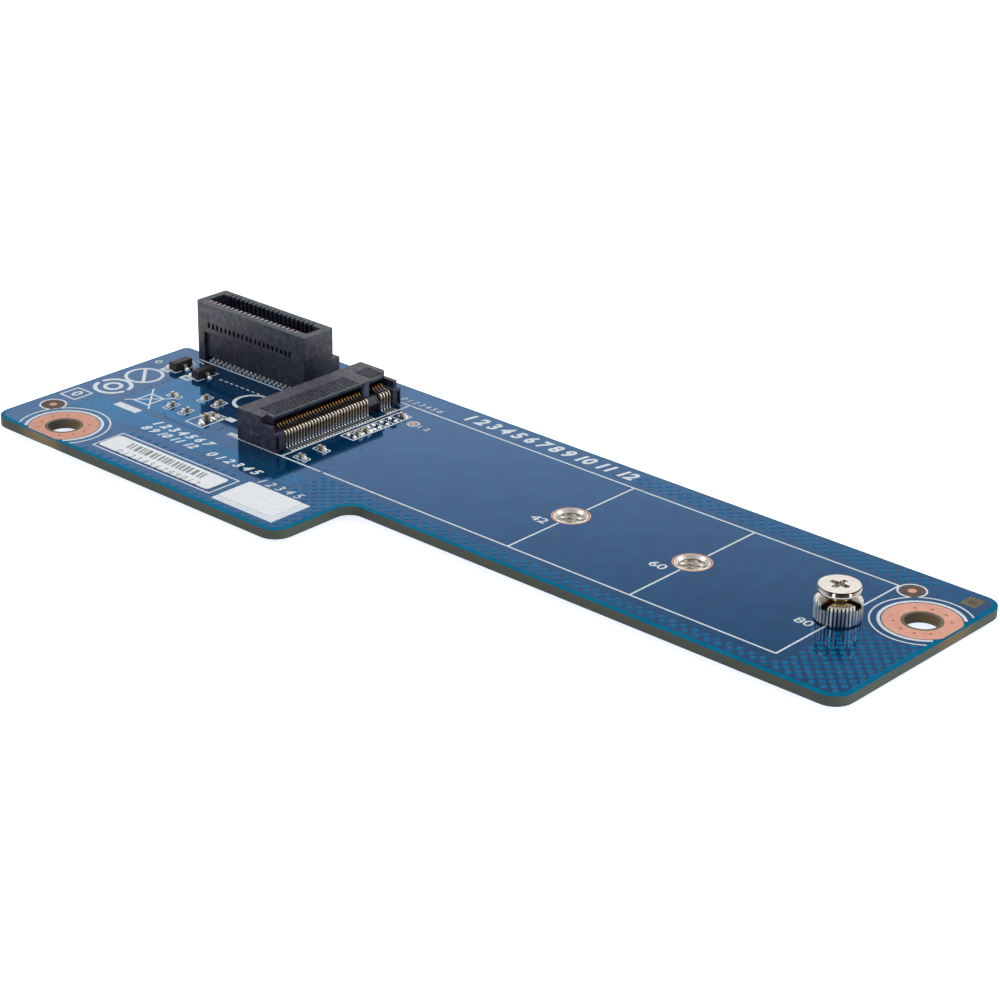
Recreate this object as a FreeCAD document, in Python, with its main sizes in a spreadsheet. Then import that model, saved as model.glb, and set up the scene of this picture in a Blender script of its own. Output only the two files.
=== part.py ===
import FreeCAD, Part
import os
import re

import Sketcher

# Adapter card for a gumstick drive: a stepped circuit board with a drive socket, a tall edge card
# socket, threaded inserts at three drive lengths, and a standoff with its clamp screw.
# Frame: origin below the middle of the card, level with the undersides of the inserts. +X runs
# along the card away from the sockets, +Y to the far side, +Z up. Sizes are in millimetres.

SIZES = {
    # Board: a wide head and a narrow arm that share the straight far edge
    "board_width": 42.8,
    "arm_width": 30.9,
    "head_length": 51.2,
    "board_thickness": 1.2,
    "corner_radius": 2.4,
    "notch_radius": 2.0,
    # Cut-out in the far corner of the head, beside the edge card socket
    "cutout_length": 3.0,
    "cutout_depth": 10.3,
    "cutout_radius": 0.8,
    # Mounting holes, each placed from the end and the side it is nearest to
    "mount_hole_diameter": 3.96,
    "left_hole_from_end": 9.27,
    "left_hole_from_side": 3.8,
    "right_hole_from_end": 4.26,
    "right_hole_from_side": 9.9,
    # Drive: where its gold edge stops, its centre line, its three lengths, the board left beyond
    # the longest of them and the height the drive lies at
    "drive_edge_from_end": 30.3,
    "drive_line_from_side": 15.65,
    "short_drive": 42.0,
    "middle_drive_step": 18.0,
    "long_drive_step": 20.0,
    "drive_end_margin": 11.3,
    "drive_thickness": 0.8,
    "drive_seat_height": 2.45,
    # Threaded inserts: a shank through the board and a flange soldered underneath
    "insert_shank_diameter": 4.2,
    "insert_clearance": 0.05,
    "insert_flange_diameter": 5.6,
    "insert_flange_thickness": 1.0,
    "insert_bore_diameter": 2.7,
    "insert_bevel_depth": 0.55,
    # Standoff: a knurled collar with a crossed driver slot and a stud for the insert
    "thread_clearance": 0.05,
    "collar_diameter": 5.35,
    "stud_length": 1.9,
    "knurl_count": 36,
    "knurl_depth": 0.24,
    "driver_slot_width": 0.9,
    "driver_slot_depth": 0.6,
    "clamp_bore_diameter": 1.8,
    # Clamp screw: a flat wide head that holds the end of the drive down
    "head_gap": 0.85,
    "head_diameter": 4.9,
    "head_thickness": 0.65,
    "head_bevel": 0.15,
    "shank_length": 2.7,
    "recess_width": 0.5,
    "recess_span": 2.5,
    "recess_depth": 0.45,
    # Drive socket housing, measured from the drive's gold edge and centre line
    "socket_side_shift": 0.2,
    "socket_height": 4.2,
    "socket_lift": 0.15,
    "socket_rear": 2.42,
    "socket_shoulder": 1.75,
    "socket_lip": 2.85,
    "socket_near_end": 11.1,
    "socket_far_end": 10.3,
    "lip_near_end": 10.13,
    "lip_far_end": 8.92,
    "lip_bevel": 0.3,
    "wall_front": 3.6,
    "wall_thickness": 0.6,
    "wall_height": 3.25,
    "far_wall_end": 10.65,
    "foot_front": 4.3,
    "near_foot_width": 1.64,
    "far_foot_width": 1.42,
    "seat_pad_size": 0.9,
    "seat_pad_inset": 0.4,
    # Mouth of the drive socket and the key rib that fits the notch of the drive
    "mouth_width": 20.0,
    "mouth_back": 0.15,
    "mouth_floor_drop": 0.35,
    "mouth_roof_gap": 0.2,
    "nose_front": 3.85,
    "nose_height": 1.35,
    "nose_ridge": 3.2,
    "key_line": 6.125,
    "key_width": 1.1,
    "key_front": 2.75,
    "key_bevel": 0.3,
    "key_gap_depth": 0.5,
    "key_gap_roof": 0.25,
    # Contacts of the drive socket: a long group and a short group on either side of the key
    "contact_pitch": 0.5,
    "contact_width": 0.2,
    "contact_thickness": 0.15,
    "contact_slot_width": 0.3,
    "long_group_count": 29,
    "lower_short_count": 4,
    "upper_short_count": 5,
    "lower_long_start": -9.0,
    "lower_short_start": 7.5,
    "upper_long_start": -9.25,
    "upper_short_start": 7.25,
    "leg_front": 4.08,
    "tail_end": 5.05,
    "crest_height": 1.95,
    "crest_reach": 0.28,
    "tip_place": 2.5,
    "tip_rise": 0.17,
    "tip_end": 2.0,
    "tip_fall": 0.1,
    "comb_back": 1.6,
    "comb_floor": 1.2,
    "rear_tail_end": 3.35,
    "rear_leg_gap": 0.05,
    "upper_beam_drop": 0.1,
    "upper_dip": 0.3,
    "upper_tip_place": 1.6,
    "channel_drop": 0.5,
    # Grooves in the roof of the drive socket, one over each upper contact
    "roof_groove_width": 0.24,
    "roof_groove_depth": 0.3,
    "roof_groove_back": 0.4,
    "roof_groove_front": 2.7,
    # Solder hold-downs in the feet of the drive socket
    "hold_slot_width": 0.45,
    "hold_slot_inset": 0.15,
    "hold_slot_bottom": 0.4,
    "hold_slot_top": 2.0,
    "hold_slot_depth": 2.0,
    "hold_sill": 0.35,
    "hold_clearance": 0.05,
    # Edge card socket, measured from the middle of its contact field
    "edge_from_end": 13.83,
    "edge_from_side": 9.33,
    "edge_height": 8.15,
    "edge_left": 9.75,
    "edge_right": 10.25,
    "edge_depth": 5.05,
    "edge_base_depth": 1.2,
    "edge_base_height": 3.9,
    "edge_mouth_left": 8.9,
    "edge_mouth_right": 9.45,
    "edge_mouth_width": 2.7,
    "edge_mouth_floor": 2.6,
    "edge_post_width": 1.2,
    "edge_ledge_height": 4.0,
    "edge_ledge_depth": 0.4,
    "edge_tunnel_height": 0.55,
    "edge_slot_width": 0.45,
    "edge_slot_depth": 0.6,
    "edge_bridge": 0.5,
    "edge_window_width": 0.4,
    "edge_window_bottom": 4.75,
    "edge_window_top": 5.45,
    # Contacts of the edge card socket
    "edge_pitch": 0.8,
    "edge_contact_count": 20,
    "edge_contact_width": 0.35,
    "edge_contact_thickness": 0.2,
    "edge_contact_gap": 0.05,
    "edge_tail_length": 0.5,
    "edge_knee_height": 3.4,
    "edge_bulge_height": 4.7,
    "edge_bulge_place": 0.72,
    "edge_tip_height": 6.1,
    "edge_tip_place": 1.4,
    # Transistors with three gull-wing leads
    "transistor_length": 2.9,
    "transistor_width": 1.3,
    "transistor_height": 0.95,
    "transistor_lift": 0.1,
    "transistor_bevel": 0.12,
    "lead_pitch": 1.9,
    "lead_width": 0.42,
    "lead_thickness": 0.14,
    "lead_height": 0.5,
    "lead_shoulder": 0.16,
    "lead_foot": 0.4,
    "lead_slope": 0.12,
    # Chip capacitors, small and large
    "small_chip_length": 1.0,
    "small_chip_width": 0.5,
    "small_chip_height": 0.5,
    "small_cap_length": 0.25,
    "large_chip_length": 1.05,
    "large_chip_width": 0.75,
    "large_chip_height": 0.85,
    "large_cap_length": 0.22,
    "chip_cap_skin": 0.02,
    # Paper labels on the head
    "label_thickness": 0.1,
    "serial_label_length": 19.7,
    "serial_label_width": 3.65,
    "serial_label_from_end": 16.83,
    "serial_label_from_side": 2.87,
    "stage_label_length": 9.0,
    "stage_label_width": 5.2,
    "stage_label_from_end": 38.53,
    "stage_label_from_side": 2.78,
}

# Places of the small parts, as distances from the left end and from the far side
TRANSISTOR_PLACES = [(5.0, 15.85), (9.2, 15.75)]
# Each chip also has its size class and the number of quarter turns it is laid at
CHIP_PLACES = [
    (11.87, 23.1, "small", 0),
    (14.07, 25.56, "small", 1),
    (16.78, 25.55, "small", 1),
    (15.39, 21.01, "small", 1),
    (17.98, 21.01, "small", 1),
    (20.68, 25.91, "large", 1),
    (20.75, 24.25, "small", 0),
    (37.77, 25.6, "small", 0),
    (37.64, 22.13, "small", 0),
    (37.66, 15.87, "small", 0),
    (37.61, 14.37, "small", 0),
    (37.55, 7.84, "small", 0),
]
for place_number, (along, across) in enumerate(TRANSISTOR_PLACES, start=1):
    SIZES[f"transistor_{place_number}_from_end"] = along
    SIZES[f"transistor_{place_number}_from_side"] = across
for place_number, (along, across, _, _) in enumerate(CHIP_PLACES, start=1):
    SIZES[f"chip_{place_number}_from_end"] = along
    SIZES[f"chip_{place_number}_from_side"] = across

doc = FreeCAD.newDocument("adapter_card")
sheet = doc.addObject("Spreadsheet::Sheet", "Sizes")
for row, (alias, value) in enumerate(SIZES.items(), start=1):
    sheet.set(f"A{row}", alias)
    sheet.set(f"B{row}", str(value))
    sheet.setAlias(f"B{row}", alias)
doc.recompute()

sub_parts = []


def linked(text):
    """An expression in which every size name points at its cell."""
    return re.sub(r"[a-z][a-z0-9_]+", lambda word: "Sizes." + word.group(), text)


def number(text):
    """The present value of an expression of sizes."""
    return float(sheet.evalExpression(linked(text)))


def bind(feature, name, text):
    feature.setExpression(name, linked(text))


def place(piece, along, across, up, quarter_turns=0):
    """Stand a sub-part in the frame of the card."""
    turn = FreeCAD.Rotation(FreeCAD.Vector(0, 0, 1), 90 * quarter_turns)
    piece.Placement = FreeCAD.Placement(FreeCAD.Vector(0, 0, 0), turn)
    bind(piece, "Placement.Base.x", along)
    bind(piece, "Placement.Base.y", across)
    bind(piece, "Placement.Base.z", up)


def new_body(label):
    body = doc.addObject("PartDesign::Body", label)
    body.Label = label
    sub_parts.append(body)
    return body


def origin_feature(body, role):
    return next(feature for feature in body.Origin.OriginFeatures if feature.Role == role)


def sketch_on(body, name, role, offset="0"):
    """A sketch on one of the body's own planes, moved along the plane's normal by the offset."""
    sketch = body.newObject("Sketcher::SketchObject", name)
    sketch.AttachmentSupport = (origin_feature(body, role), [""])
    sketch.MapMode = "FlatFace"
    bind(sketch, "AttachmentOffset.Base.z", offset)
    return sketch


def draw_outline(sketch, corners):
    """A closed outline whose corners are all held by sizes."""
    points = [FreeCAD.Vector(number(across), number(up), 0) for across, up in corners]
    following = points[1:] + points[:1]
    lines = [sketch.addGeometry(Part.LineSegment(a, b)) for a, b in zip(points, following)]
    for line, after in zip(lines, lines[1:] + lines[:1]):
        sketch.addConstraint(Sketcher.Constraint("Coincident", line, 2, after, 1))
    for line, corner, point in zip(lines, corners, points):
        for kind, text, value in zip(("DistanceX", "DistanceY"), corner, point):
            held = sketch.addConstraint(Sketcher.Constraint(kind, -1, 1, line, 1, value))
            bind(sketch, f"Constraints[{held}]", text)


def draw_rectangle(sketch, left, low, right, high):
    draw_outline(sketch, [(left, low), (right, low), (right, high), (left, high)])


def draw_circle(sketch, across, up, diameter):
    centre = FreeCAD.Vector(number(across), number(up), 0)
    circle = sketch.addGeometry(Part.Circle(centre, FreeCAD.Vector(0, 0, 1), number(diameter) / 2))
    held = sketch.addConstraint(Sketcher.Constraint("DistanceX", -1, 1, circle, 3, centre.x))
    bind(sketch, f"Constraints[{held}]", across)
    held = sketch.addConstraint(Sketcher.Constraint("DistanceY", -1, 1, circle, 3, centre.y))
    bind(sketch, f"Constraints[{held}]", up)
    held = sketch.addConstraint(Sketcher.Constraint("Diameter", circle, number(diameter)))
    bind(sketch, f"Constraints[{held}]", diameter)


def draw_cross(sketch, width, span):
    """A plus sign about the middle of the sketch."""
    arm = f"({span}) / 2"
    side = f"({width}) / 2"
    quarter = [(arm, f"-{side}"), (arm, side), (side, side)]
    corners = list(quarter)
    corners += [(f"-{up}", across) for across, up in quarter]
    corners += [(f"-{across}", f"-{up}") for across, up in quarter]
    corners += [(up, f"-{across}") for across, up in quarter]
    draw_outline(sketch, [(a.replace("--", ""), b.replace("--", "")) for a, b in corners])


def add_feature(body, kind, name, sketch):
    feature = body.newObject(f"PartDesign::{kind}", name)
    feature.Profile = sketch
    return feature


def pad(body, name, sketch, length, reverse=False):
    feature = add_feature(body, "Pad", name, sketch)
    bind(feature, "Length", length)
    feature.Reversed = reverse
    doc.recompute()
    return feature


def pocket(body, name, sketch, depth, reverse=False):
    """A cut that has to take material away."""
    volume = body.Shape.Volume
    feature = add_feature(body, "Pocket", name, sketch)
    bind(feature, "Length", depth)
    feature.Reversed = reverse
    doc.recompute()
    if feature.Shape.Volume >= volume:
        raise ValueError(f"{name} cuts nothing")
    return feature


def revolve(body, name, sketch):
    feature = add_feature(body, "Revolution", name, sketch)
    feature.ReferenceAxis = (sketch, ["V_Axis"])
    feature.Angle = 360
    doc.recompute()
    return feature


def repeat(body, name, feature, axis, count, pitch):
    """Copies of a feature in a row along one of the body's axes."""
    row = body.newObject("PartDesign::LinearPattern", name)
    row.Originals = [feature]
    row.Direction = (origin_feature(body, axis), [""])
    row.Mode = "Spacing"
    bind(row, "Occurrences", count)
    bind(row, "Offset", pitch)
    body.Tip = row
    doc.recompute()
    return row


def round_uprights(body, name, corners, radius):
    """A fillet on the upright edges that stand at the given corners of the plan."""
    base = body.Tip
    places = [FreeCAD.Vector(number(across), number(up), 0) for across, up in corners]
    names = []
    for edge_number, edge in enumerate(base.Shape.Edges, start=1):
        ends = [FreeCAD.Vector(end.X, end.Y, 0) for end in edge.Vertexes]
        if any(all(end.isEqual(spot, 1e-6) for end in ends) for spot in places):
            names.append(f"Edge{edge_number}")
    fillet = body.newObject("PartDesign::Fillet", name)
    fillet.Base = (base, names)
    bind(fillet, "Radius", radius)
    doc.recompute()
    return fillet


BOARD_TOP = "insert_flange_thickness + board_thickness"
SHORT_DRIVE = "short_drive"
MIDDLE_DRIVE = f"{SHORT_DRIVE} + middle_drive_step"
LONG_DRIVE = f"{MIDDLE_DRIVE} + long_drive_step"
BOARD_LENGTH = f"(drive_edge_from_end + {LONG_DRIVE} + drive_end_margin)"
LEFT_END = f"-{BOARD_LENGTH} / 2"
RIGHT_END = f"{BOARD_LENGTH} / 2"
NEAR_SIDE = "-board_width / 2"
FAR_SIDE = "board_width / 2"
DRIVE_EDGE = f"{LEFT_END} + drive_edge_from_end"
DRIVE_LINE = f"{FAR_SIDE} - drive_line_from_side"
DRIVE_LENGTHS = {"short": SHORT_DRIVE, "middle": MIDDLE_DRIVE, "long": LONG_DRIVE}

# Circuit board: one slab with a rounded step, a cut-out in the far corner of the head, two
# mounting holes and the holes of the inserts
board = new_body("circuit_board")
HEAD_END = f"{LEFT_END} + head_length"
ARM_SIDE = f"{FAR_SIDE} - arm_width"
CUTOUT_END = f"{LEFT_END} + cutout_length"
CUTOUT_SIDE = f"{FAR_SIDE} - cutout_depth"
board_plan = [
    (LEFT_END, NEAR_SIDE),
    (HEAD_END, NEAR_SIDE),
    (HEAD_END, ARM_SIDE),
    (RIGHT_END, ARM_SIDE),
    (RIGHT_END, FAR_SIDE),
    (CUTOUT_END, FAR_SIDE),
    (CUTOUT_END, CUTOUT_SIDE),
    (LEFT_END, CUTOUT_SIDE),
]
outline = sketch_on(board, "board_outline", "XY_Plane")
draw_outline(outline, board_plan)
pad(board, "board_slab", outline, "board_thickness")
round_uprights(board, "board_corners", board_plan[:2] + board_plan[3:5], "corner_radius")
round_uprights(board, "board_notch", board_plan[2:3], "notch_radius")
round_uprights(board, "board_cutout", board_plan[6:], "cutout_radius")
LEFT_HOLE = (f"{LEFT_END} + left_hole_from_end", f"{NEAR_SIDE} + left_hole_from_side")
RIGHT_HOLE = (f"{RIGHT_END} - right_hole_from_end", f"{FAR_SIDE} - right_hole_from_side")
mount_holes = sketch_on(board, "mount_holes", "XY_Plane", "board_thickness")
for hole in (LEFT_HOLE, RIGHT_HOLE):
    draw_circle(mount_holes, *hole, "mount_hole_diameter")
pocket(board, "mount_bores", mount_holes, "board_thickness")
insert_holes = sketch_on(board, "insert_holes", "XY_Plane", "board_thickness")
for length in DRIVE_LENGTHS.values():
    bore = "insert_shank_diameter + 2 * insert_clearance"
    draw_circle(insert_holes, f"{DRIVE_EDGE} + {length}", DRIVE_LINE, bore)
pocket(board, "insert_bores", insert_holes, "board_thickness")
place(board, "0", "0", "insert_flange_thickness")

# Threaded inserts: turned from bar, bevelled at the mouth, all three alike
inserts = new_body("threaded_inserts")
for drive, length in DRIVE_LENGTHS.items():
    section = sketch_on(inserts, f"{drive}_drive_section", "XZ_Plane")
    bind(section, "AttachmentOffset.Base.x", length)
    draw_outline(section, [
        ("insert_bore_diameter / 2", "0"),
        ("insert_flange_diameter / 2", "0"),
        ("insert_flange_diameter / 2", "insert_flange_thickness"),
        ("insert_shank_diameter / 2", "insert_flange_thickness"),
        ("insert_shank_diameter / 2", BOARD_TOP),
        ("insert_bore_diameter / 2", f"{BOARD_TOP} - insert_bevel_depth"),
    ])
    revolve(inserts, f"{drive}_drive_insert", section)
place(inserts, DRIVE_EDGE, DRIVE_LINE, "0")

# Standoff: a knurled collar with crossed driver slots, a stud below and a tapped hole above
standoff = new_body("drive_standoff")
section = sketch_on(standoff, "standoff_section", "XZ_Plane")
STUD_RADIUS = "insert_bore_diameter / 2 - thread_clearance"
draw_outline(section, [
    ("clamp_bore_diameter / 2", "-stud_length"),
    (STUD_RADIUS, "-stud_length"),
    (STUD_RADIUS, "0"),
    ("collar_diameter / 2", "0"),
    ("collar_diameter / 2", "drive_seat_height"),
    ("clamp_bore_diameter / 2", "drive_seat_height"),
])
revolve(standoff, "standoff_turning", section)
knurl = sketch_on(standoff, "knurl_groove", "XY_Plane", "drive_seat_height")
KNURL_OUT = "collar_diameter / 2 + knurl_depth"
draw_outline(knurl, [
    ("collar_diameter / 2 - knurl_depth", "0"),
    (KNURL_OUT, "-2 * knurl_depth"),
    (KNURL_OUT, "2 * knurl_depth"),
])
groove = pocket(standoff, "knurl_cut", knurl, "drive_seat_height")
knurls = standoff.newObject("PartDesign::PolarPattern", "knurls")
knurls.Originals = [groove]
knurls.Axis = (origin_feature(standoff, "Z_Axis"), [""])
knurls.Angle = 360
bind(knurls, "Occurrences", "knurl_count")
standoff.Tip = knurls
doc.recompute()
driver_slot = sketch_on(standoff, "driver_slot", "XY_Plane", "drive_seat_height")
draw_cross(driver_slot, "driver_slot_width", "collar_diameter + driver_slot_width")
pocket(standoff, "driver_slots", driver_slot, "driver_slot_depth")
place(standoff, f"{DRIVE_EDGE} + {LONG_DRIVE}", DRIVE_LINE, BOARD_TOP)

# Clamp screw: a flat head with a cross recess, its shank down in the standoff
screw = new_body("clamp_screw")
section = sketch_on(screw, "screw_section", "XZ_Plane")
SHANK_RADIUS = "clamp_bore_diameter / 2 - thread_clearance"
draw_outline(section, [
    ("0", "-shank_length"),
    (SHANK_RADIUS, "-shank_length"),
    (SHANK_RADIUS, "0"),
    ("head_diameter / 2", "0"),
    ("head_diameter / 2", "head_thickness - head_bevel"),
    ("head_diameter / 2 - head_bevel", "head_thickness"),
    ("0", "head_thickness"),
])
revolve(screw, "screw_turning", section)
recess = sketch_on(screw, "cross_recess", "XY_Plane", "head_thickness")
draw_cross(recess, "recess_width", "recess_span")
pocket(screw, "recess_cut", recess, "recess_depth")
SCREW_SEAT = f"{BOARD_TOP} + drive_seat_height + head_gap"
place(screw, f"{DRIVE_EDGE} + {LONG_DRIVE}", DRIVE_LINE, SCREW_SEAT)

# Drive socket housing: one moulding with a roofed mouth, low side walls, feet and a key rib
SOCKET_LINE = f"{DRIVE_LINE} - socket_side_shift"
MOUTH_FLOOR = "drive_seat_height - mouth_floor_drop"
MOUTH_ROOF = "drive_seat_height + drive_thickness + mouth_roof_gap"
FOOT_NEAR_SIDE = "near_foot_width - socket_near_end"
FOOT_FAR_SIDE = "far_wall_end - far_foot_width"
housing = new_body("drive_socket_housing")
roof_plan = sketch_on(housing, "roof_plan", "XY_Plane", "socket_lift")
draw_outline(roof_plan, [
    ("-socket_rear", "-socket_near_end"),
    ("socket_shoulder", "-socket_near_end"),
    ("socket_shoulder", "-lip_near_end"),
    ("socket_lip", "-lip_near_end"),
    ("socket_lip", "lip_far_end"),
    ("socket_shoulder", "lip_far_end"),
    ("socket_shoulder", "socket_far_end"),
    ("-socket_rear", "socket_far_end"),
])
pad(housing, "housing_block", roof_plan, "socket_height - socket_lift")
mouth = sketch_on(housing, "mouth_section", "XZ_Plane", "mouth_width / 2")
draw_outline(mouth, [
    ("-mouth_back", MOUTH_FLOOR),
    ("socket_lip + lip_bevel", MOUTH_FLOOR),
    ("socket_lip + lip_bevel", f"{MOUTH_ROOF} + 2 * lip_bevel"),
    ("socket_lip - lip_bevel", MOUTH_ROOF),
    ("-mouth_back", MOUTH_ROOF),
])
pocket(housing, "mouth_cut", mouth, "mouth_width")
nose = sketch_on(housing, "nose_section", "XZ_Plane", "lip_near_end")
draw_outline(nose, [
    ("mouth_back", "socket_lift"),
    ("nose_front", "socket_lift"),
    ("nose_front", "nose_height"),
    ("nose_ridge", MOUTH_FLOOR),
    ("mouth_back", MOUTH_FLOOR),
])
pad(housing, "nose", nose, f"lip_near_end + {FOOT_FAR_SIDE}", reverse=True)
for side, inner, outer, wall in (
    ("near", FOOT_NEAR_SIDE, "-socket_near_end", "wall_thickness - socket_near_end"),
    ("far", FOOT_FAR_SIDE, "far_wall_end", "far_wall_end - wall_thickness"),
):
    foot = sketch_on(housing, f"{side}_foot_plan", "XY_Plane", "socket_lift")
    draw_rectangle(foot, "mouth_back", inner, "foot_front", outer)
    pad(housing, f"{side}_foot", foot, "drive_seat_height - socket_lift")
    rail = sketch_on(housing, f"{side}_wall_plan", "XY_Plane", "socket_lift")
    draw_rectangle(rail, "mouth_back", wall, "wall_front", outer)
    pad(housing, f"{side}_wall", rail, "wall_height - socket_lift")
key = sketch_on(housing, "key_plan", "XY_Plane", "nose_height")
KEY_LOW = "key_line - key_width / 2"
KEY_HIGH = "key_line + key_width / 2"
draw_outline(key, [
    ("-mouth_back", KEY_LOW),
    ("key_front - key_bevel", KEY_LOW),
    ("key_front", f"{KEY_LOW} + key_bevel"),
    ("key_front", f"{KEY_HIGH} - key_bevel"),
    ("key_front - key_bevel", KEY_HIGH),
    ("-mouth_back", KEY_HIGH),
])
pad(housing, "key_rib", key, f"{MOUTH_ROOF} + lip_bevel - nose_height")

# Comb of the drive socket: a slot for every lower contact, a wide channel for each upper group,
# and the roof grooves over the upper row
CONTACT_ROWS = {
    "lower": [("lower_long_start", "long_group_count"), ("lower_short_start", "lower_short_count")],
    "upper": [("upper_long_start", "long_group_count"), ("upper_short_start", "upper_short_count")],
}
CHANNEL_FLOOR = f"{MOUTH_ROOF} - channel_drop"
GROOVE_HALF = "roof_groove_width / 2"
for start, count in CONTACT_ROWS["lower"]:
    slot = sketch_on(housing, f"{start}_slot", "XZ_Plane", f"contact_slot_width / 2 - {start}")
    draw_rectangle(slot, "comb_back", "comb_floor", "foot_front", MOUTH_FLOOR)
    cut = pocket(housing, f"{start}_slot_cut", slot, "contact_slot_width")
    repeat(housing, f"{start}_comb", cut, "Y_Axis", count, "contact_pitch")
for start, count in CONTACT_ROWS["upper"]:
    channel = sketch_on(housing, f"{start}_channel", "XZ_Plane", f"contact_slot_width / 2 - {start}")
    draw_rectangle(channel, "-socket_rear", CHANNEL_FLOOR, "0", MOUTH_ROOF)
    pocket(housing, f"{start}_channel_cut", channel,
           f"({count} - 1) * contact_pitch + contact_slot_width")
    roof = sketch_on(housing, f"{start}_roof", "XY_Plane", "socket_height")
    draw_rectangle(roof, "-roof_groove_back", f"{start} - {GROOVE_HALF}",
                   "roof_groove_front", f"{start} + {GROOVE_HALF}")
    cut = pocket(housing, f"{start}_roof_cut", roof, "roof_groove_depth")
    repeat(housing, f"{start}_roof_grooves", cut, "Y_Axis", count, "contact_pitch")

# Below the key the nose is set back between the two groups
KEY_GAP_START = "lower_long_start + (long_group_count - 0.5) * contact_pitch"
key_gap = sketch_on(housing, "key_gap", "XZ_Plane", f"-({KEY_GAP_START})")
draw_rectangle(key_gap, "nose_front - key_gap_depth", "0", "foot_front", "nose_height - key_gap_roof")
pocket(housing, "key_gap_cut", key_gap, f"lower_short_start - contact_pitch / 2 - ({KEY_GAP_START})")

# Pockets in the feet take the solder hold-downs, and four pads seat the moulding on the board
HOLD_LINES = {
    "near": "hold_slot_inset + hold_slot_width / 2 - socket_near_end",
    "far": "far_wall_end - hold_slot_inset - hold_slot_width / 2",
}
HOLD_BACK = "foot_front - hold_slot_depth"
for side, line in HOLD_LINES.items():
    slot = sketch_on(housing, f"{side}_hold_slot", "XZ_Plane", f"hold_slot_width / 2 - ({line})")
    draw_outline(slot, [
        (HOLD_BACK, "0"),
        ("foot_front - hold_sill", "0"),
        ("foot_front - hold_sill", "hold_slot_bottom"),
        ("foot_front + hold_sill", "hold_slot_bottom"),
        ("foot_front + hold_sill", "hold_slot_top"),
        (HOLD_BACK, "hold_slot_top"),
    ])
    pocket(housing, f"{side}_hold_cut", slot, "hold_slot_width")
seat_pads = sketch_on(housing, "seat_pads", "XY_Plane")
for across in ("seat_pad_inset - socket_near_end", "socket_far_end - seat_pad_inset - seat_pad_size"):
    for along in ("seat_pad_inset - socket_rear", "seat_pad_inset"):
        draw_rectangle(seat_pads, along, across, f"{along} + seat_pad_size", f"{across} + seat_pad_size")
pad(housing, "seats", seat_pads, "socket_lift")
place(housing, DRIVE_EDGE, SOCKET_LINE, BOARD_TOP)

# Lower contacts: a tail on the board, an upright leg, a rounded crest and a sprung beam
lower_contacts = new_body("drive_socket_lower_contacts")
LEG_BACK = "leg_front - contact_thickness"
TIP_HEIGHT = "drive_seat_height + tip_rise"
lower_strip = [
    ("tail_end", "0"),
    ("tail_end", "contact_thickness"),
    ("leg_front", "contact_thickness"),
    ("leg_front", "crest_height - crest_reach"),
    ("leg_front - crest_reach", "crest_height"),
    ("tip_place", TIP_HEIGHT),
    ("tip_end", f"{TIP_HEIGHT} - tip_fall - contact_thickness"),
    ("tip_place", f"{TIP_HEIGHT} - contact_thickness"),
    (LEG_BACK, "crest_height - crest_reach"),
    (LEG_BACK, "0"),
]
# Upper contacts: a tail behind the housing, a leg up its back and a beam through its channel
upper_contacts = new_body("drive_socket_upper_contacts")
REAR_LEG = "-socket_rear - rear_leg_gap"
BEAM_TOP = f"{MOUTH_ROOF} - upper_beam_drop"
upper_strip = [
    ("-rear_tail_end", "0"),
    (REAR_LEG, "0"),
    (REAR_LEG, f"{BEAM_TOP} - contact_thickness"),
    ("upper_tip_place", f"{BEAM_TOP} - upper_dip - contact_thickness"),
    ("upper_tip_place", f"{BEAM_TOP} - upper_dip"),
    (f"{REAR_LEG} - contact_thickness", BEAM_TOP),
    (f"{REAR_LEG} - contact_thickness", "contact_thickness"),
    ("-rear_tail_end", "contact_thickness"),
]
for row_name, body, strip in (
    ("lower", lower_contacts, lower_strip),
    ("upper", upper_contacts, upper_strip),
):
    for start, count in CONTACT_ROWS[row_name]:
        section = sketch_on(body, f"{start}_strip", "XZ_Plane", f"contact_width / 2 - {start}")
        draw_outline(section, strip)
        first = pad(body, f"{start}_contact", section, "contact_width", reverse=True)
        repeat(body, f"{start}_row", first, "Y_Axis", count, "contact_pitch")
    place(body, DRIVE_EDGE, SOCKET_LINE, BOARD_TOP)

# Solder hold-downs: flat stamped tabs that stand in the feet and reach the board
hold_downs = new_body("drive_socket_hold_downs")
for side, line in HOLD_LINES.items():
    section = sketch_on(hold_downs, f"{side}_tab", "XZ_Plane",
                        f"hold_slot_width / 2 - hold_clearance - ({line})")
    draw_rectangle(section, f"{HOLD_BACK} + hold_clearance", "0",
                   "foot_front - hold_sill - hold_clearance", "hold_slot_top - hold_clearance")
    pad(hold_downs, f"{side}_hold_down", section, "hold_slot_width - 2 * hold_clearance", reverse=True)
place(hold_downs, DRIVE_EDGE, SOCKET_LINE, BOARD_TOP)

# Edge card socket housing: a tall trough with slotted walls on a stepped, tunnelled base
EDGE_LINE = (f"{LEFT_END} + edge_from_end", f"{FAR_SIDE} - edge_from_side")
EDGE_FRONT = "-edge_depth / 2"
EDGE_INNER = "edge_mouth_width / 2"
EDGE_FIRST = "(1 - edge_contact_count) * edge_pitch / 2"
edge_housing = new_body("edge_socket_housing")
base = sketch_on(edge_housing, "base_plan", "XY_Plane")
draw_rectangle(base, "-edge_left", EDGE_FRONT, "edge_right", "edge_depth / 2 + edge_base_depth")
pad(edge_housing, "base_step", base, "edge_base_height")
trough = sketch_on(edge_housing, "trough_plan", "XY_Plane")
draw_rectangle(trough, "-edge_left", EDGE_FRONT, "edge_right", "edge_depth / 2")
pad(edge_housing, "trough", trough, "edge_height")
edge_mouth = sketch_on(edge_housing, "edge_mouth", "XY_Plane", "edge_height")
draw_rectangle(edge_mouth, "-edge_mouth_left", f"-{EDGE_INNER}", "edge_mouth_right", EDGE_INNER)
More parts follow.
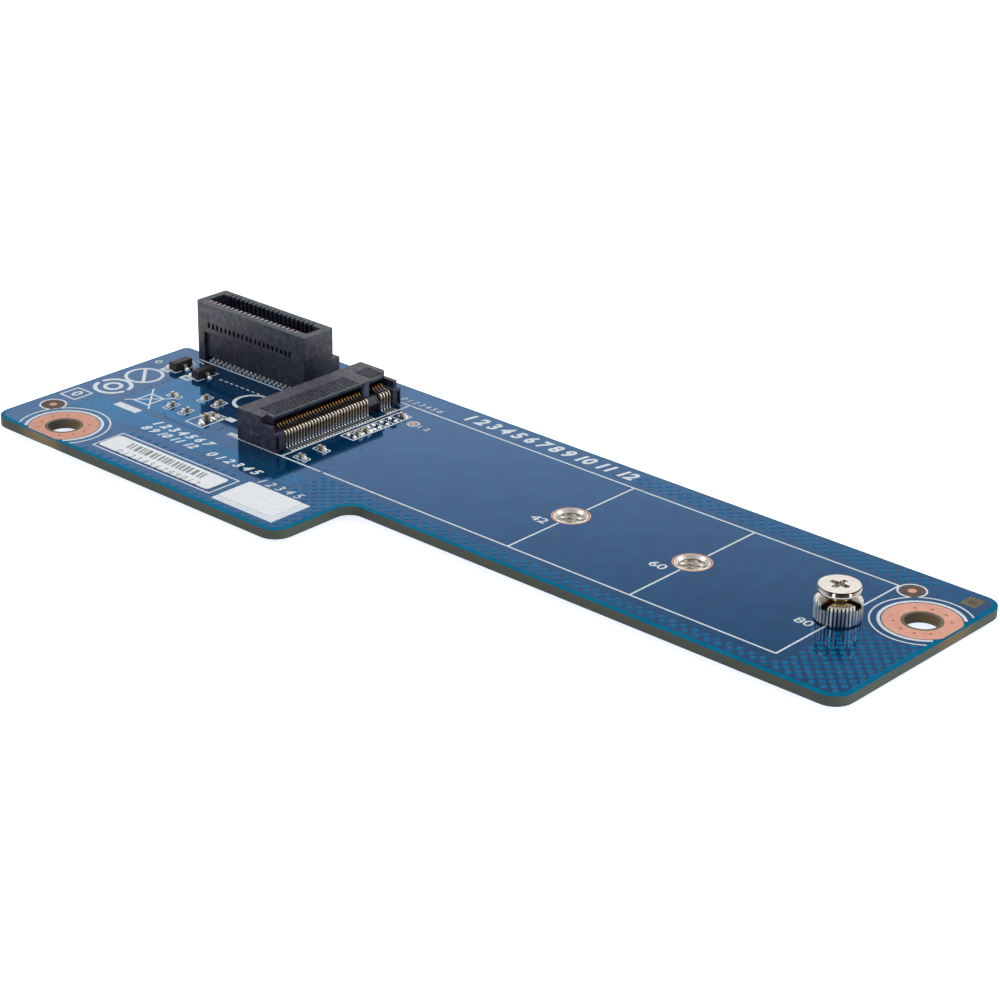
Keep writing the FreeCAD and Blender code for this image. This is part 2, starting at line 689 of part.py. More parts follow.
pocket(edge_housing, "edge_mouth_cut", edge_mouth, "edge_height - edge_mouth_floor")
POST_LEFT = "edge_post_width - edge_left"
POST_RIGHT = "edge_right - edge_post_width"
ledge = sketch_on(edge_housing, "ledge_recess", "XZ_Plane", "edge_depth / 2")
draw_rectangle(ledge, POST_LEFT, "0", POST_RIGHT, "edge_ledge_height")
pocket(edge_housing, "ledge_cut", ledge, "edge_ledge_depth")
tunnel = sketch_on(edge_housing, "tail_tunnel", "XZ_Plane", "edge_depth / 2")
draw_rectangle(tunnel, POST_LEFT, "0", POST_RIGHT, "edge_tunnel_height")
pocket(edge_housing, "tunnel_cut", tunnel, "edge_depth + edge_base_depth")
SLOT_OUTER = f"{EDGE_INNER} + edge_slot_depth"
SLOT_LEFT = f"{EDGE_FIRST} - edge_slot_width / 2"
SLOT_RIGHT = f"{EDGE_FIRST} + edge_slot_width / 2"
SLOT_FLOOR = "edge_mouth_floor - edge_bridge"
for side, low, high in (
    ("front", f"-({SLOT_OUTER})", f"-{EDGE_INNER}"),
    ("back", EDGE_INNER, SLOT_OUTER),
):
    slot = sketch_on(edge_housing, f"{side}_slot", "XY_Plane", "edge_height")
    draw_rectangle(slot, SLOT_LEFT, low, SLOT_RIGHT, high)
    cut = pocket(edge_housing, f"{side}_slot_cut", slot, f"edge_height - ({SLOT_FLOOR})")
    repeat(edge_housing, f"{side}_slots", cut, "X_Axis", "edge_contact_count", "edge_pitch")
    channel = sketch_on(edge_housing, f"{side}_channel", "XY_Plane", SLOT_FLOOR)
    draw_rectangle(channel, SLOT_LEFT, low, f"-({SLOT_LEFT})", high)
    pocket(edge_housing, f"{side}_channel_cut", channel, f"{SLOT_FLOOR} - edge_tunnel_height")
window = sketch_on(edge_housing, "front_window", "XZ_Plane", "edge_depth / 2")
draw_rectangle(window, f"{EDGE_FIRST} - edge_window_width / 2", "edge_window_bottom",
               f"{EDGE_FIRST} + edge_window_width / 2", "edge_window_top")
cut = pocket(edge_housing, "window_cut", window, f"edge_depth / 2 - ({SLOT_OUTER})")
repeat(edge_housing, "windows", cut, "X_Axis", "edge_contact_count", "edge_pitch")
place(edge_housing, *EDGE_LINE, BOARD_TOP)

# Edge card contacts: a tail, an upright leg in its slot and a spring that bulges into the mouth
LEG_OUTER = f"({SLOT_OUTER}) - edge_contact_gap"
LEG_INNER = f"{LEG_OUTER} - edge_contact_thickness"
edge_strip = [
    (f"{LEG_OUTER} + edge_tail_length", "0"),
    (LEG_INNER, "0"),
    (LEG_INNER, "edge_knee_height"),
    ("edge_bulge_place", "edge_bulge_height"),
    ("edge_tip_place", "edge_tip_height"),
    ("edge_bulge_place + edge_contact_thickness", "edge_bulge_height"),
    (LEG_OUTER, "edge_knee_height + edge_contact_gap"),
    (LEG_OUTER, "edge_contact_thickness"),
    (f"{LEG_OUTER} + edge_tail_length", "edge_contact_thickness"),
]
for side, sign in (("front", "-"), ("back", "")):
    contacts = new_body(f"edge_socket_{side}_contacts")
    section = sketch_on(contacts, f"{side}_strip", "YZ_Plane", f"{EDGE_FIRST} - edge_contact_width / 2")
    draw_outline(section, [(f"{sign}({across})", up) for across, up in edge_strip])
    first = pad(contacts, f"{side}_contact", section, "edge_contact_width")
    repeat(contacts, f"{side}_row", first, "X_Axis", "edge_contact_count", "edge_pitch")
    place(contacts, *EDGE_LINE, BOARD_TOP)

# Transistors: a moulded block with bevelled top edges, one lead on one side and two on the other
LEAD_TOP = "lead_height + lead_thickness"
LEAD_DROP = "transistor_width / 2 + lead_shoulder"
lead_strip = [
    ("transistor_width / 2", "lead_height"),
    (LEAD_DROP, "lead_height"),
    (f"{LEAD_DROP} + lead_slope", "0"),
    (f"{LEAD_DROP} + lead_slope + lead_foot", "0"),
    (f"{LEAD_DROP} + lead_slope + lead_foot", "lead_thickness"),
    (f"{LEAD_DROP} + lead_slope + lead_thickness", "lead_thickness"),
    (f"{LEAD_DROP} + lead_thickness", LEAD_TOP),
    ("transistor_width / 2", LEAD_TOP),
]
TRANSISTOR_TOP = "transistor_lift + transistor_height"
for place_number in range(1, len(TRANSISTOR_PLACES) + 1):
    along = f"{LEFT_END} + transistor_{place_number}_from_end"
    across = f"{FAR_SIDE} - transistor_{place_number}_from_side"
    block = new_body(f"transistor_{place_number}_block")
    section = sketch_on(block, f"block_section_{place_number}", "XZ_Plane", "transistor_length / 2")
    draw_outline(section, [
        ("-transistor_width / 2", "transistor_lift"),
        ("transistor_width / 2", "transistor_lift"),
        ("transistor_width / 2", f"{TRANSISTOR_TOP} - transistor_bevel"),
        ("transistor_width / 2 - transistor_bevel", TRANSISTOR_TOP),
        ("transistor_bevel - transistor_width / 2", TRANSISTOR_TOP),
        ("-transistor_width / 2", f"{TRANSISTOR_TOP} - transistor_bevel"),
    ])
    pad(block, f"moulding_{place_number}", section, "transistor_length", reverse=True)
    place(block, along, across, BOARD_TOP)
    leads = new_body(f"transistor_{place_number}_leads")
    for lead_name, sign, line in (
        ("lone", "", "0"),
        ("near", "-", "-lead_pitch / 2"),
        ("far", "-", "lead_pitch / 2"),
    ):
        section = sketch_on(leads, f"{lead_name}_section_{place_number}", "XZ_Plane",
                            f"lead_width / 2 - ({line})")
        draw_outline(section, [(f"{sign}({out})", up) for out, up in lead_strip])
        pad(leads, f"{lead_name}_lead_{place_number}", section, "lead_width", reverse=True)
    place(leads, along, across, BOARD_TOP)


def chip_block(name, length, width, height, start, lift):
    """A block of a chip, centred across, from a start along it and a height above the board."""
    block = doc.addObject("Part::Box", name)
    bind(block, "Length", length)
    bind(block, "Width", width)
    bind(block, "Height", height)
    bind(block, "Placement.Base.x", start)
    bind(block, "Placement.Base.y", f"-({width}) / 2")
    bind(block, "Placement.Base.z", lift)
    return block


# Chip capacitors: a ceramic block between two tinned end caps that stand on the board
for place_number, (_, _, kind, quarter_turns) in enumerate(CHIP_PLACES, start=1):
    length = f"{kind}_chip_length"
    width = f"{kind}_chip_width"
    height = f"{kind}_chip_height"
    cap = f"{kind}_cap_length"
    spot = (f"{LEFT_END} + chip_{place_number}_from_end", f"{FAR_SIDE} - chip_{place_number}_from_side")
    ceramic = doc.addObject("Part::Compound", f"capacitor_{place_number}_ceramic")
    ceramic.Links = [chip_block(f"ceramic_block_{place_number}", f"{length} - 2 * {cap}", width,
                                height, f"{cap} - {length} / 2", "chip_cap_skin")]
    caps = doc.addObject("Part::Compound", f"capacitor_{place_number}_caps")
    caps.Links = [
        chip_block(f"{end}_cap_{place_number}", cap, f"{width} + 2 * chip_cap_skin",
                   f"{height} + 2 * chip_cap_skin", start, "0")
        for end, start in (("first", f"-{length} / 2"), ("second", f"{length} / 2 - {cap}"))
    ]
    for piece in (ceramic, caps):
        place(piece, *spot, BOARD_TOP, quarter_turns)
        sub_parts.append(piece)

# Paper labels: a long serial label and a short one for the assembly stage
for label in ("serial", "stage"):
    paper = doc.addObject("Part::Box", f"{label}_label")
    bind(paper, "Length", f"{label}_label_length")
    bind(paper, "Width", f"{label}_label_width")
    bind(paper, "Height", "label_thickness")
    place(paper, f"{LEFT_END} + {label}_label_from_end", f"{NEAR_SIDE} + {label}_label_from_side", BOARD_TOP)
    sub_parts.append(paper)

doc.recompute()
for item in doc.Objects:
    if "Invalid" in item.State or "Error" in item.State:
        raise ValueError(f"{item.Name} failed: {item.State}")
for piece in sub_parts:
    if piece.Shape.isNull() or not piece.Shape.isValid():
        raise ValueError(f"{piece.Label} has no valid shape")

os.makedirs("parts", exist_ok=True)
for piece in sub_parts:
    piece.Shape.exportStep(os.path.join("parts", f"{piece.Label}.step"))
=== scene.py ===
import math
import random

import bmesh
import bpy
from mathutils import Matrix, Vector


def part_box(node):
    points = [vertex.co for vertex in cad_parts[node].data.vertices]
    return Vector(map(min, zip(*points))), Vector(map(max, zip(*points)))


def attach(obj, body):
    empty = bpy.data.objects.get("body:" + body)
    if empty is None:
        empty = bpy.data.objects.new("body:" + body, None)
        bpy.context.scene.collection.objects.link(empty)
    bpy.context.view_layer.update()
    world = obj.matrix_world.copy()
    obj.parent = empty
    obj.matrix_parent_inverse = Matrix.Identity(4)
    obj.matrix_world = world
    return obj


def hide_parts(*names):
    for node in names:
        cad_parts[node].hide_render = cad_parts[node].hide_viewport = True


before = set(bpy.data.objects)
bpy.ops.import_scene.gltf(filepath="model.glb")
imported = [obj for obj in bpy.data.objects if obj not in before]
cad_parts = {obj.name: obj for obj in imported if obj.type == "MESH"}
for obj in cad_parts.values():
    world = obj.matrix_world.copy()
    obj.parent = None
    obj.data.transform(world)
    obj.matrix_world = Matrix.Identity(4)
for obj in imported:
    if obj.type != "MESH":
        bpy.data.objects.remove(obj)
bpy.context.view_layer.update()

# Circuit board: glass-fibre laminate, pressed from layers, routed to a stepped outline with one corner
# cut out, and drilled for two mounting holes and three inserts. The cut edges are bare.
MM = 0.001
UNDERSIDE = 1.0
TOP = 2.2
MASK_FILM = 0.03
# Corners of the outline: along, across and radius, anticlockwise from the near left.
OUTLINE_CORNERS = [
    (-60.8, -21.4, 2.4),
    (-9.6, -21.4, 2.4),
    (-9.6, -9.5, 2.0),
    (60.8, -9.5, 2.4),
    (60.8, 21.4, 2.4),
    (-57.8, 21.4, 0.05),
    (-57.8, 11.1, 0.8),
    (-60.8, 11.1, 0.8),
]
INNER_CORNERS = (2, 6)
MOUNT_HOLES = [(-51.53, -17.6), (56.54, 11.5)]
MOUNT_HOLE_RADIUS = 1.98
INSERT_PLACES = [(11.5, 5.75), (29.5, 5.75), (49.5, 5.75)]
INSERT_HOLE_RADIUS = 2.15
SHARP_ANGLE = 35


def linear(colour):
    """An sRGB hex colour as linear values."""
    shares = [int(colour[i:i + 2], 16) / 255 for i in (1, 3, 5)]
    return [c / 12.92 if c <= 0.04045 else ((c + 0.055) / 1.055) ** 2.4 for c in shares] + [1.0]


def feed(tree, node, inputs):
    """Sets the inputs of a shader node: a socket is linked and a value is set."""
    for name, value in inputs.items():
        if isinstance(value, bpy.types.NodeSocket):
            tree.links.new(value, node.inputs[name])
        else:
            node.inputs[name].default_value = value


def add_node(tree, kind, out, inputs, stops=(), **settings):
    """One shader node with its settings, inputs and colour stops; gives the output asked for."""
    made = tree.nodes.new("ShaderNode" + kind)
    for name, value in settings.items():
        setattr(made, name, value)
    feed(tree, made, inputs)
    for extra in stops[2:]:
        made.color_ramp.elements.new(extra[0])
    for element, (position, colour) in zip(made.color_ramp.elements if stops else (), stops):
        element.position = position
        element.color = linear(colour)
    return made.outputs[out]


def new_finish(name):
    """A material with its node tree, its shader and the place on the card to measure patterns from."""
    material = bpy.data.materials.new(name)
    material.use_nodes = True
    tree = material.node_tree
    return material, tree, tree.nodes["Principled BSDF"], add_node(tree, "TexCoord", "Object", {})


def add_piece(name, shapes, finishes, stands_for=(), smooth=False):
    """One mesh piece of the card from shapes in millimetres: points, faces and which finish."""
    points = []
    faces = []
    finish_of = []
    for shape in shapes:
        start = len(points)
        points += [[c * MM for c in point] for point in shape[0]]
        faces += [[start + corner for corner in face] for face in shape[1]]
        finish_of += [shape[2] if len(shape) > 2 else 0] * len(shape[1])
    mesh = bpy.data.meshes.new(name)
    mesh.from_pydata(points, [], faces)
    for finish in finishes if isinstance(finishes, list) else [finishes]:
        mesh.materials.append(finish)
    mesh.polygons.foreach_set("material_index", finish_of)
    mesh.polygons.foreach_set("use_smooth", [smooth] * len(faces))
    shaped = bmesh.new()
    shaped.from_mesh(mesh)
    unused = [v for v in shaped.verts if not v.link_faces]
    bmesh.ops.delete(shaped, geom=unused, context="VERTS")
    bmesh.ops.recalc_face_normals(shaped, faces=shaped.faces)
    shaped.to_mesh(mesh)
    shaped.free()
    if smooth:
        mesh.set_sharp_from_angle(angle=math.radians(SHARP_ANGLE))
    piece = bpy.data.objects.new(name, mesh)
    bpy.context.scene.collection.objects.link(piece)
    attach(piece, "root")
    if stands_for:
        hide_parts(*stands_for)
    return piece


def circle(centre, radius, steps=48):
    """A round plan."""
    return [(centre[0] + radius * math.cos(2 * math.pi * i / steps),
             centre[1] + radius * math.sin(2 * math.pi * i / steps)) for i in range(steps)]


def rounded(corners, steps=8):
    """A plan with its corners rounded, each to its own radius."""
    plan = []
    for i, (x, y, radius) in enumerate(corners):
        corner = Vector((x, y))
        back = (Vector(corners[i - 1][:2]) - corner).normalized()
        ahead = (Vector(corners[(i + 1) % len(corners)][:2]) - corner).normalized()
        centre = corner + (back + ahead) * radius
        start, stop = corner + back * radius - centre, corner + ahead * radius - centre
        for step in range(steps + 1):
            turn = math.pi / 2 * step / steps
            plan.append(tuple(centre + start * math.cos(turn) + stop * math.sin(turn)))
    return plan


def board_plan(inset):
    """The outline of the board, drawn in by an inset."""
    sides = [(1, 1), (-1, 1), (-1, 1), (-1, 1), (-1, -1), (1, -1), (1, -1), (1, -1)]
    corners = []
    for i, ((x, y, radius), (along, across)) in enumerate(zip(OUTLINE_CORNERS, sides)):
        drawn_in = radius + inset if i in INNER_CORNERS else max(radius - inset, 0.05)
        corners.append((x + inset * along, y + inset * across, drawn_in))
    return rounded(corners)


def pierced(outer, holes, low, high):
    """A slab with holes through it, as points and faces."""
    shaped = bmesh.new()
    for loop in [outer] + holes:
        ring = [shaped.verts.new((x, y, high)) for x, y in loop]
        for here, after in zip(ring, ring[1:] + ring[:1]):
            shaped.edges.new((here, after))
    bmesh.ops.triangle_fill(shaped, use_beauty=True, edges=shaped.edges[:])
    shaped.verts.index_update()
    points = [tuple(v.co) for v in shaped.verts]
    faces = [[v.index for v in face.verts] for face in shaped.faces]
    rims = [[v.index for v in edge.verts] for edge in shaped.edges if len(edge.link_faces) == 1]
    shaped.free()
    count = len(points)
    points += [(x, y, low) for x, y, _ in points]
    lower = [[count + corner for corner in reversed(face)] for face in faces]
    return points, faces + lower + [[a, b, count + b, count + a] for a, b in rims]


# Glass-fibre laminate, cut by a router: dull olive grey, with fine fibre flecks drawn out along the
# layers, and a clear tan round the mounting holes, over no inner copper. The face at the outer end is
# painted paler as painted light, and one side of each mounting bore darker as painted shade.
FIBRE_FLECK = 0.45
LAYER_STRETCH = 7
CLEAR_REACH = (3.6, 6.2)
BORE_REACH = 2.3
SHADED_BORE_SIDE = (0.73, 0.68, 0.0)
laminate, tree, shader, place = new_finish("routed_laminate")
layers = add_node(tree, "Mapping", "Vector", {"Vector": place, "Scale": (1, 1, LAYER_STRETCH)})
flecks = add_node(tree, "TexNoise", "Fac", {"Vector": layers, "Scale": 1 / (FIBRE_FLECK * MM),
                                            "Detail": 4.0, "Roughness": 0.7})
filled, clear, end_face_light_shades = [
    add_node(tree, "ValToRGB", "Color", {"Fac": flecks}, list(zip((0.3, 0.55, 0.75), shades)))
    for shades in (("#262A24", "#33372F", "#4B4F45"),
                   ("#645432", "#7A6640", "#907C54"),
                   ("#323E37", "#414D44", "#606B5B"))]
mid_board = (UNDERSIDE + TOP) / 2
reach = [add_node(tree, "VectorMath", "Value", {0: place, 1: (x * MM, y * MM, mid_board * MM)}, operation="DISTANCE")
         for x, y in MOUNT_HOLES]
nearest = add_node(tree, "Math", "Value", {0: reach[0], 1: reach[1]}, operation="MINIMUM")
darkened = add_node(tree, "MapRange", "Result", {"Value": nearest, "From Min": CLEAR_REACH[0] * MM,
                                                 "From Max": CLEAR_REACH[1] * MM},
                    interpolation_type="SMOOTHSTEP")
facing = add_node(tree, "NewGeometry", "Normal", {})
# Painted light: faces turned to the outer end get the paler shades.
end_face_light = add_node(tree, "SeparateXYZ", "X", {"Vector": facing})
end_face_light = add_node(tree, "MapRange", "Result", {"Value": end_face_light, "From Min": 0.3, "From Max": 0.9})
filled = add_node(tree, "Mix", 2, {0: end_face_light, 6: filled, 7: end_face_light_shades}, data_type="RGBA")
cut_edge = add_node(tree, "Mix", 2, {0: darkened, 6: clear, 7: filled}, data_type="RGBA")
# Painted shade: one side of each mounting bore darkened towards a deep brown.
bore_shade = add_node(tree, "VectorMath", "Value", {0: facing, 1: SHADED_BORE_SIDE}, operation="DOT_PRODUCT")
bore_shade = add_node(tree, "MapRange", "Result", {"Value": bore_shade, "From Min": -0.7, "From Max": 0.6})
bore_wall = add_node(tree, "Math", "Value", {0: nearest, 1: BORE_REACH * MM}, operation="LESS_THAN")
bore_shade = add_node(tree, "Math", "Value", {0: bore_shade, 1: bore_wall}, operation="MULTIPLY")
cut_edge = add_node(tree, "Mix", 2, {0: bore_shade, 6: cut_edge, 7: linear("#3A3222")}, data_type="RGBA")
fibre_bumps = add_node(tree, "Bump", "Normal", {"Height": flecks, "Distance": 0.02 * MM})
feed(tree, shader, {"Base Color": cut_edge, "Roughness": 0.62, "IOR": 1.5, "Normal": fibre_bumps})

hole_plans = [circle(centre, MOUNT_HOLE_RADIUS) for centre in MOUNT_HOLES]
hole_plans += [circle(centre, INSERT_HOLE_RADIUS) for centre in INSERT_PLACES]
core = pierced(board_plan(0.0), hole_plans, UNDERSIDE + MASK_FILM, TOP - MASK_FILM)
add_piece("laminate_core", [core], laminate, ["circuit_board"])

# Solder mask: a cured glossy blue lacquer, curtain-coated over copper and laminate on both faces.
# Along the rim it lies on bare laminate beyond the copper, thin and matt, as a brighter teal line. The
# outline was routed a little off the etched pattern, so the line is wider on two sides.
RIM_WIDTH = 0.48
ROUTED_OFF = 0.26
CLOUD = 2.6
GRIT = 0.25
WEAVE_PITCH = 3.069


def strip_between(outer, inner, low, high, closed=True):
    """A slab between two lines that have as many points each."""
    count = len(outer)
    points = [(x, y, z) for z in (low, high) for line in (outer, inner) for x, y in line]
    faces = []
    for i in range(count if closed else count - 1):
        j = (i + 1) % count
        faces += [(2 * count + i, 2 * count + j, 3 * count + j, 3 * count + i), (i, count + i, count + j, j),
                  (i, j, 2 * count + j, 2 * count + i), (count + i, 3 * count + i, 3 * count + j, count + j)]
    if not closed:
        faces += [(k, 2 * count + k, 3 * count + k, count + k) for k in (0, count - 1)]
    return points, faces


def mask_finish(name, dark, light, shine, copper):
    """Blue lacquer: it floats out smooth and mirrors the room, and the copper under it mirrors in blue.

    The glass weave ripples it faintly, drawn far coarser than the cloth is, so that the ripple shows."""
    material, tree, shader, place = new_finish(name)
    cloud = add_node(tree, "TexNoise", "Fac", {"Vector": place, "Scale": 1 / (CLOUD * MM), "Detail": 3.0})
    tint = add_node(tree, "ValToRGB", "Color", {"Fac": cloud}, [(0.35, dark), (0.65, light)])
    grit = add_node(tree, "TexNoise", "Fac", {"Vector": place, "Scale": 1 / (GRIT * MM), "Detail": 2.0})
    dulling = add_node(tree, "MapRange", "Result", {"Value": grit, "To Min": 0.03, "To Max": 0.11})
    # The wave node counts ten radians to a unit, along the sum of the coordinates.
    waves = 2 * math.pi / 10 / (math.sqrt(2) * WEAVE_PITCH * MM)
    weave = add_node(tree, "TexWave", "Fac", {"Vector": place, "Scale": waves, "Distortion": 1.5, "Detail": 2.0},
                     wave_type="BANDS", bands_direction="DIAGONAL")
    ripple = add_node(tree, "Bump", "Normal", {"Height": weave, "Distance": 0.0006 * MM})
    feed(tree, shader, {"Base Color": tint, "Roughness": dulling, "IOR": 1.5, "Specular IOR Level": shine,
                        "Metallic": copper, "Normal": ripple})
    return material


mask = mask_finish("solder_mask", "#04578F", "#075F98", 1.0, 0.71)
mask_on_copper = mask_finish("solder_mask_on_copper", "#0569A0", "#0773AC", 0.25, 0.78)
mask_rim = mask_finish("solder_mask_rim", "#00698E", "#007399", 0.01, 0.0)
rim_plan = board_plan(0.0)
field_plan = [(x - ROUTED_OFF, y + ROUTED_OFF) for x, y in board_plan(RIM_WIDTH)]
for side, low, high in (("top", TOP - MASK_FILM, TOP), ("underside", UNDERSIDE, UNDERSIDE + MASK_FILM)):
    field = pierced(field_plan, hole_plans, low, high)
    edge = strip_between(rim_plan, field_plan, low, high)
    add_piece(f"{side}_solder_mask", [field, (*edge, 1)], [mask, mask_rim])

# Copper under the mask: a lattice of dots etched outside the drive's outline to even out the plating,
# poured areas on the head, and thin tracks. The foil lifts the mask by its own thickness.
LATTICE = 0.762
LATTICE_ORIGIN = (24.99, 20.18)
LATTICE_COLUMNS = range(-115, 50)
LATTICE_ROWS = range(-60, 5)
DOT_RADIUS = 0.41
DOT_EDGE_GAP = 0.75
FOIL = 0.012
# Fields of dots: left, low, right and high.
DOT_FIELDS = [
    (10.0, 18.2, 53.0, 20.6),
    (-14.8, -9.0, 60.2, -6.9),
    (51.3, -9.0, 60.2, 6.8),
    (-17.2, -12.9, -10.4, -6.4),
    (-12.2, -20.6, -10.4, -12.9),
    (-44.5, -20.8, -10.8, -19.9),
    (-44.5, -13.6, -24.0, -12.6),
]
# Places kept free of dots, each with its radius.
CLEAR_ROUND = [(56.54, 11.5, 6.4), (-51.53, -17.6, 6.4), (51.5, 16.86, 2.2), (49.5, 5.75, 3.2)]
POURS = [
    [(-56.3, -8.1), (-17.9, -8.1), (-17.9, -11.2), (-44.6, -11.8), (-45.6, -12.4), (-56.3, -12.4)],
    [(-52.6, 2.8), (-47.4, 2.8), (-41.6, -3.2), (-41.6, -6.4), (-35.4, -6.4), (-35.4, -6.8), (-52.6, -6.8)],
]
TRACK = [(-46.0, -6.1), (-44.4, -7.2), (-37.4, -7.2)]
TRACK_WIDTH = 0.2


def domed(centre, radius, low, high, steps=12):
    """A low round bump."""
    rings = [circle(centre, radius * part, steps) for part in (1.0, 0.8, 0.45)]
    points = [(x, y, low + (high - low) * up) for ring, up in zip(rings, (0.0, 0.6, 1.0)) for x, y in ring]
    sides = [(k * steps + i, k * steps + (i + 1) % steps, (k + 1) * steps + (i + 1) % steps, (k + 1) * steps + i)
             for k in range(2) for i in range(steps)]
    return points, [list(range(2 * steps, 3 * steps)), *sides]


def slab(plan, low, high):
    """An upright slab over a plan."""
    count = len(plan)
    points = [(x, y, low) for x, y in plan] + [(x, y, high) for x, y in plan]
    walls = [(i, (i + 1) % count, count + (i + 1) % count, count + i) for i in range(count)]
    return points, [list(range(count))[::-1], list(range(count, 2 * count)), *walls]


def stroke(x0, y0, x1, y1, width, height):
    """A straight line of a width and height on the face of the board."""
    along = Vector((x1 - x0, y1 - y0)).normalized() * width / 2
    across = Vector((-along.y, along.x))
    start, stop = Vector((x0, y0)) - along, Vector((x1, y1)) + along
    plan = [tuple(start - across), tuple(stop - across), tuple(stop + across), tuple(start + across)]
    return slab(plan, TOP, TOP + height)


def within(plan, x, y):
    """Whether a place lies inside a plan."""
    inside = False
    for (ax, ay), (bx, by) in zip(plan, plan[1:] + plan[:1]):
        if (ay > y) != (by > y) and x < ax + (bx - ax) * (y - ay) / (by - ay):
            inside = not inside
    return inside


mask_on_dots = mask_finish("solder_mask_on_dots", "#005F92", "#00699E", 0.08, 0.0)
dot_limit = board_plan(DOT_EDGE_GAP)
dots = []
for column in LATTICE_COLUMNS:
    for row in LATTICE_ROWS:
        x, y = LATTICE_ORIGIN[0] + column * LATTICE, LATTICE_ORIGIN[1] + row * LATTICE
        in_field = any(a <= x <= c and b <= y <= d for a, b, c, d in DOT_FIELDS)
        clear = all(math.hypot(x - a, y - b) > r for a, b, r in CLEAR_ROUND)
        if (column + row) % 2 == 0 and in_field and clear and within(dot_limit, x, y):
            dots.append(domed((x, y), DOT_RADIUS, TOP, TOP + FOIL))
add_piece("fill_dots", dots, mask_on_dots, smooth=True)
pours = [slab(plan, TOP, TOP + FOIL) for plan in POURS]
add_piece("copper_pours", pours, mask_on_copper)
# Each run of the track stands a little higher than the one before, so that no two faces share a level.
tracks = [stroke(*a, *b, TRACK_WIDTH, FOIL + 0.002 * (i + 1)) for i, (a, b) in enumerate(zip(TRACK, TRACK[1:]))]
add_piece("copper_tracks", tracks, mask_on_dots)

# Vias: small drilled and plated holes, closed over by the mask, each a dark dimple. At the far corner
# of the arm the mask also lies in two square grooves of the foil, without copper below it.
VIA_RADIUS = 0.2
VIA_RISE = FOIL + 0.006
VIA_PLACES = [
    *[(-56.0 + 0.95 * i, -8.9 - 1.15 * j) for i in range(3) for j in range(2)],
    *[(-53.55, 1.4 - 1.0 * i) for i in range(8)],
    *[(-20.06, -10.16), (-19.89, -8.98), (-18.33, -10.17), (-18.41, -8.93)],
    *[(-36.7, -5.2), (-36.8, -4.5), (-36.9, -3.8)],
    *[(-20.41, 0.76), (-19.78, 2.71), (-18.97, -2.89), (-18.28, -4.83), (3.2, 11.2)],
]
PANEL = (53.9, 18.1, 56.7, 20.5)
GROOVES = [(0.0, 0.24), (0.85, 0.2)]
GROOVE_RISE = 0.008


def mottled_finish(name, grain, colours, settings, detail=2.0, dulling=None, relief=None):
    """A finish mottled at the size of its grain: in colour, and in roughness and relief where given.

    Grain finer than about 0.12 mm would not show in the render, so the finest is drawn that coarse."""
    material, tree, shader, place = new_finish(name)
    mottle = add_node(tree, "TexNoise", "Fac", {"Vector": place, "Scale": 1 / (grain * MM), "Detail": detail})
    tint = add_node(tree, "ValToRGB", "Color", {"Fac": mottle}, [(0.3, colours[0]), (0.7, colours[1])])
    feed(tree, shader, {"Base Color": tint, **settings})
    if dulling:
        haze = add_node(tree, "MapRange", "Result", {"Value": mottle, "To Min": dulling[0], "To Max": dulling[1]})
        feed(tree, shader, {"Roughness": haze})
    if relief:
        bumps = add_node(tree, "Bump", "Normal", {"Height": mottle, "Distance": relief * MM})
        feed(tree, shader, {"Normal": bumps})
    return material


def rectangle(left, low, right, high):
    """A square-cornered plan."""
    return [(left, low), (right, low), (right, high), (left, high)]


# Mask sunk into a via: the same lacquer, thick and dark.
via_finish = mottled_finish("tented_via", 0.3, ("#06335C", "#0A3F6C"),
                            {"Roughness": 0.25, "IOR": 1.5, "Specular IOR Level": 0.25})
sunk_marks = [domed(via, VIA_RADIUS, TOP + 0.001, TOP + VIA_RISE, 10) for via in VIA_PLACES]
for inset, width in GROOVES:
    loops = [rectangle(PANEL[0] + i, PANEL[1] + i, PANEL[2] - i, PANEL[3] - i) for i in (inset, inset + width)]
    sunk_marks.append((*strip_between(*loops, TOP, TOP + GROOVE_RISE), 1))
add_piece("vias", sunk_marks, [via_finish, mask_on_dots])

# Bare copper: round lands at the mounting holes with a circle of small stitching holes, two camera
# targets and a test point, etched in the foil, left free of mask and dipped in clear preservative.
LAND_RADIUS = 4.4
LAND_GAP = 0.38
LAND_LIMIT = (60.5, -21.1)
INSERT_LAND_RADIUS = 2.34
STITCH_CIRCLE = 3.15
STITCH_RADIUS = 0.18
STITCH_TURNS = [(12, 47, 130, 166, 199, 233, 310, 342), (36, 70, 104, 139, 223, 258, 289, 321)]
STITCH_RISE = 0.016
TARGETS = [(-57.88, -14.1), (51.53, 16.86)]
TARGET_RADIUS = 0.5
WINDOW_RADIUS = 1.5
WINDOW_RISE = 0.01
TEST_POINT = (-20.74, 12.9)
TEST_POINT_RADIUS = 0.42
TEST_POINT_RISE = 0.02
SQUARE = (56.9, 18.0, 58.95, 20.2)
SQUARE_MARK = (57.92, 19.1)
SQUARE_MARK_RADIUS = 0.55
SQUARE_MARK_RISE = 0.014
CLEARING = 0.42
# Preserved copper: an even salmon pink, satin, without a hard shine.
copper, tree, shader, place = new_finish("preserved_copper")
tarnish = add_node(tree, "TexNoise", "Fac", {"Vector": place, "Scale": 1 / (1.2 * MM), "Detail": 4.0})
tint = add_node(tree, "ValToRGB", "Color", {"Fac": tarnish}, [(0.3, "#CB8E78"), (0.7, "#D69B85")])
etch = add_node(tree, "TexNoise", "Fac", {"Vector": place, "Scale": 1 / (0.15 * MM)})
sheen = add_node(tree, "MapRange", "Result", {"Value": etch, "To Min": 0.42, "To Max": 0.55})
etched = add_node(tree, "Bump", "Normal", {"Height": etch, "Distance": 0.004 * MM})
feed(tree, shader, {"Base Color": tint, "Roughness": sheen, "Metallic": 0.35, "Normal": etched})
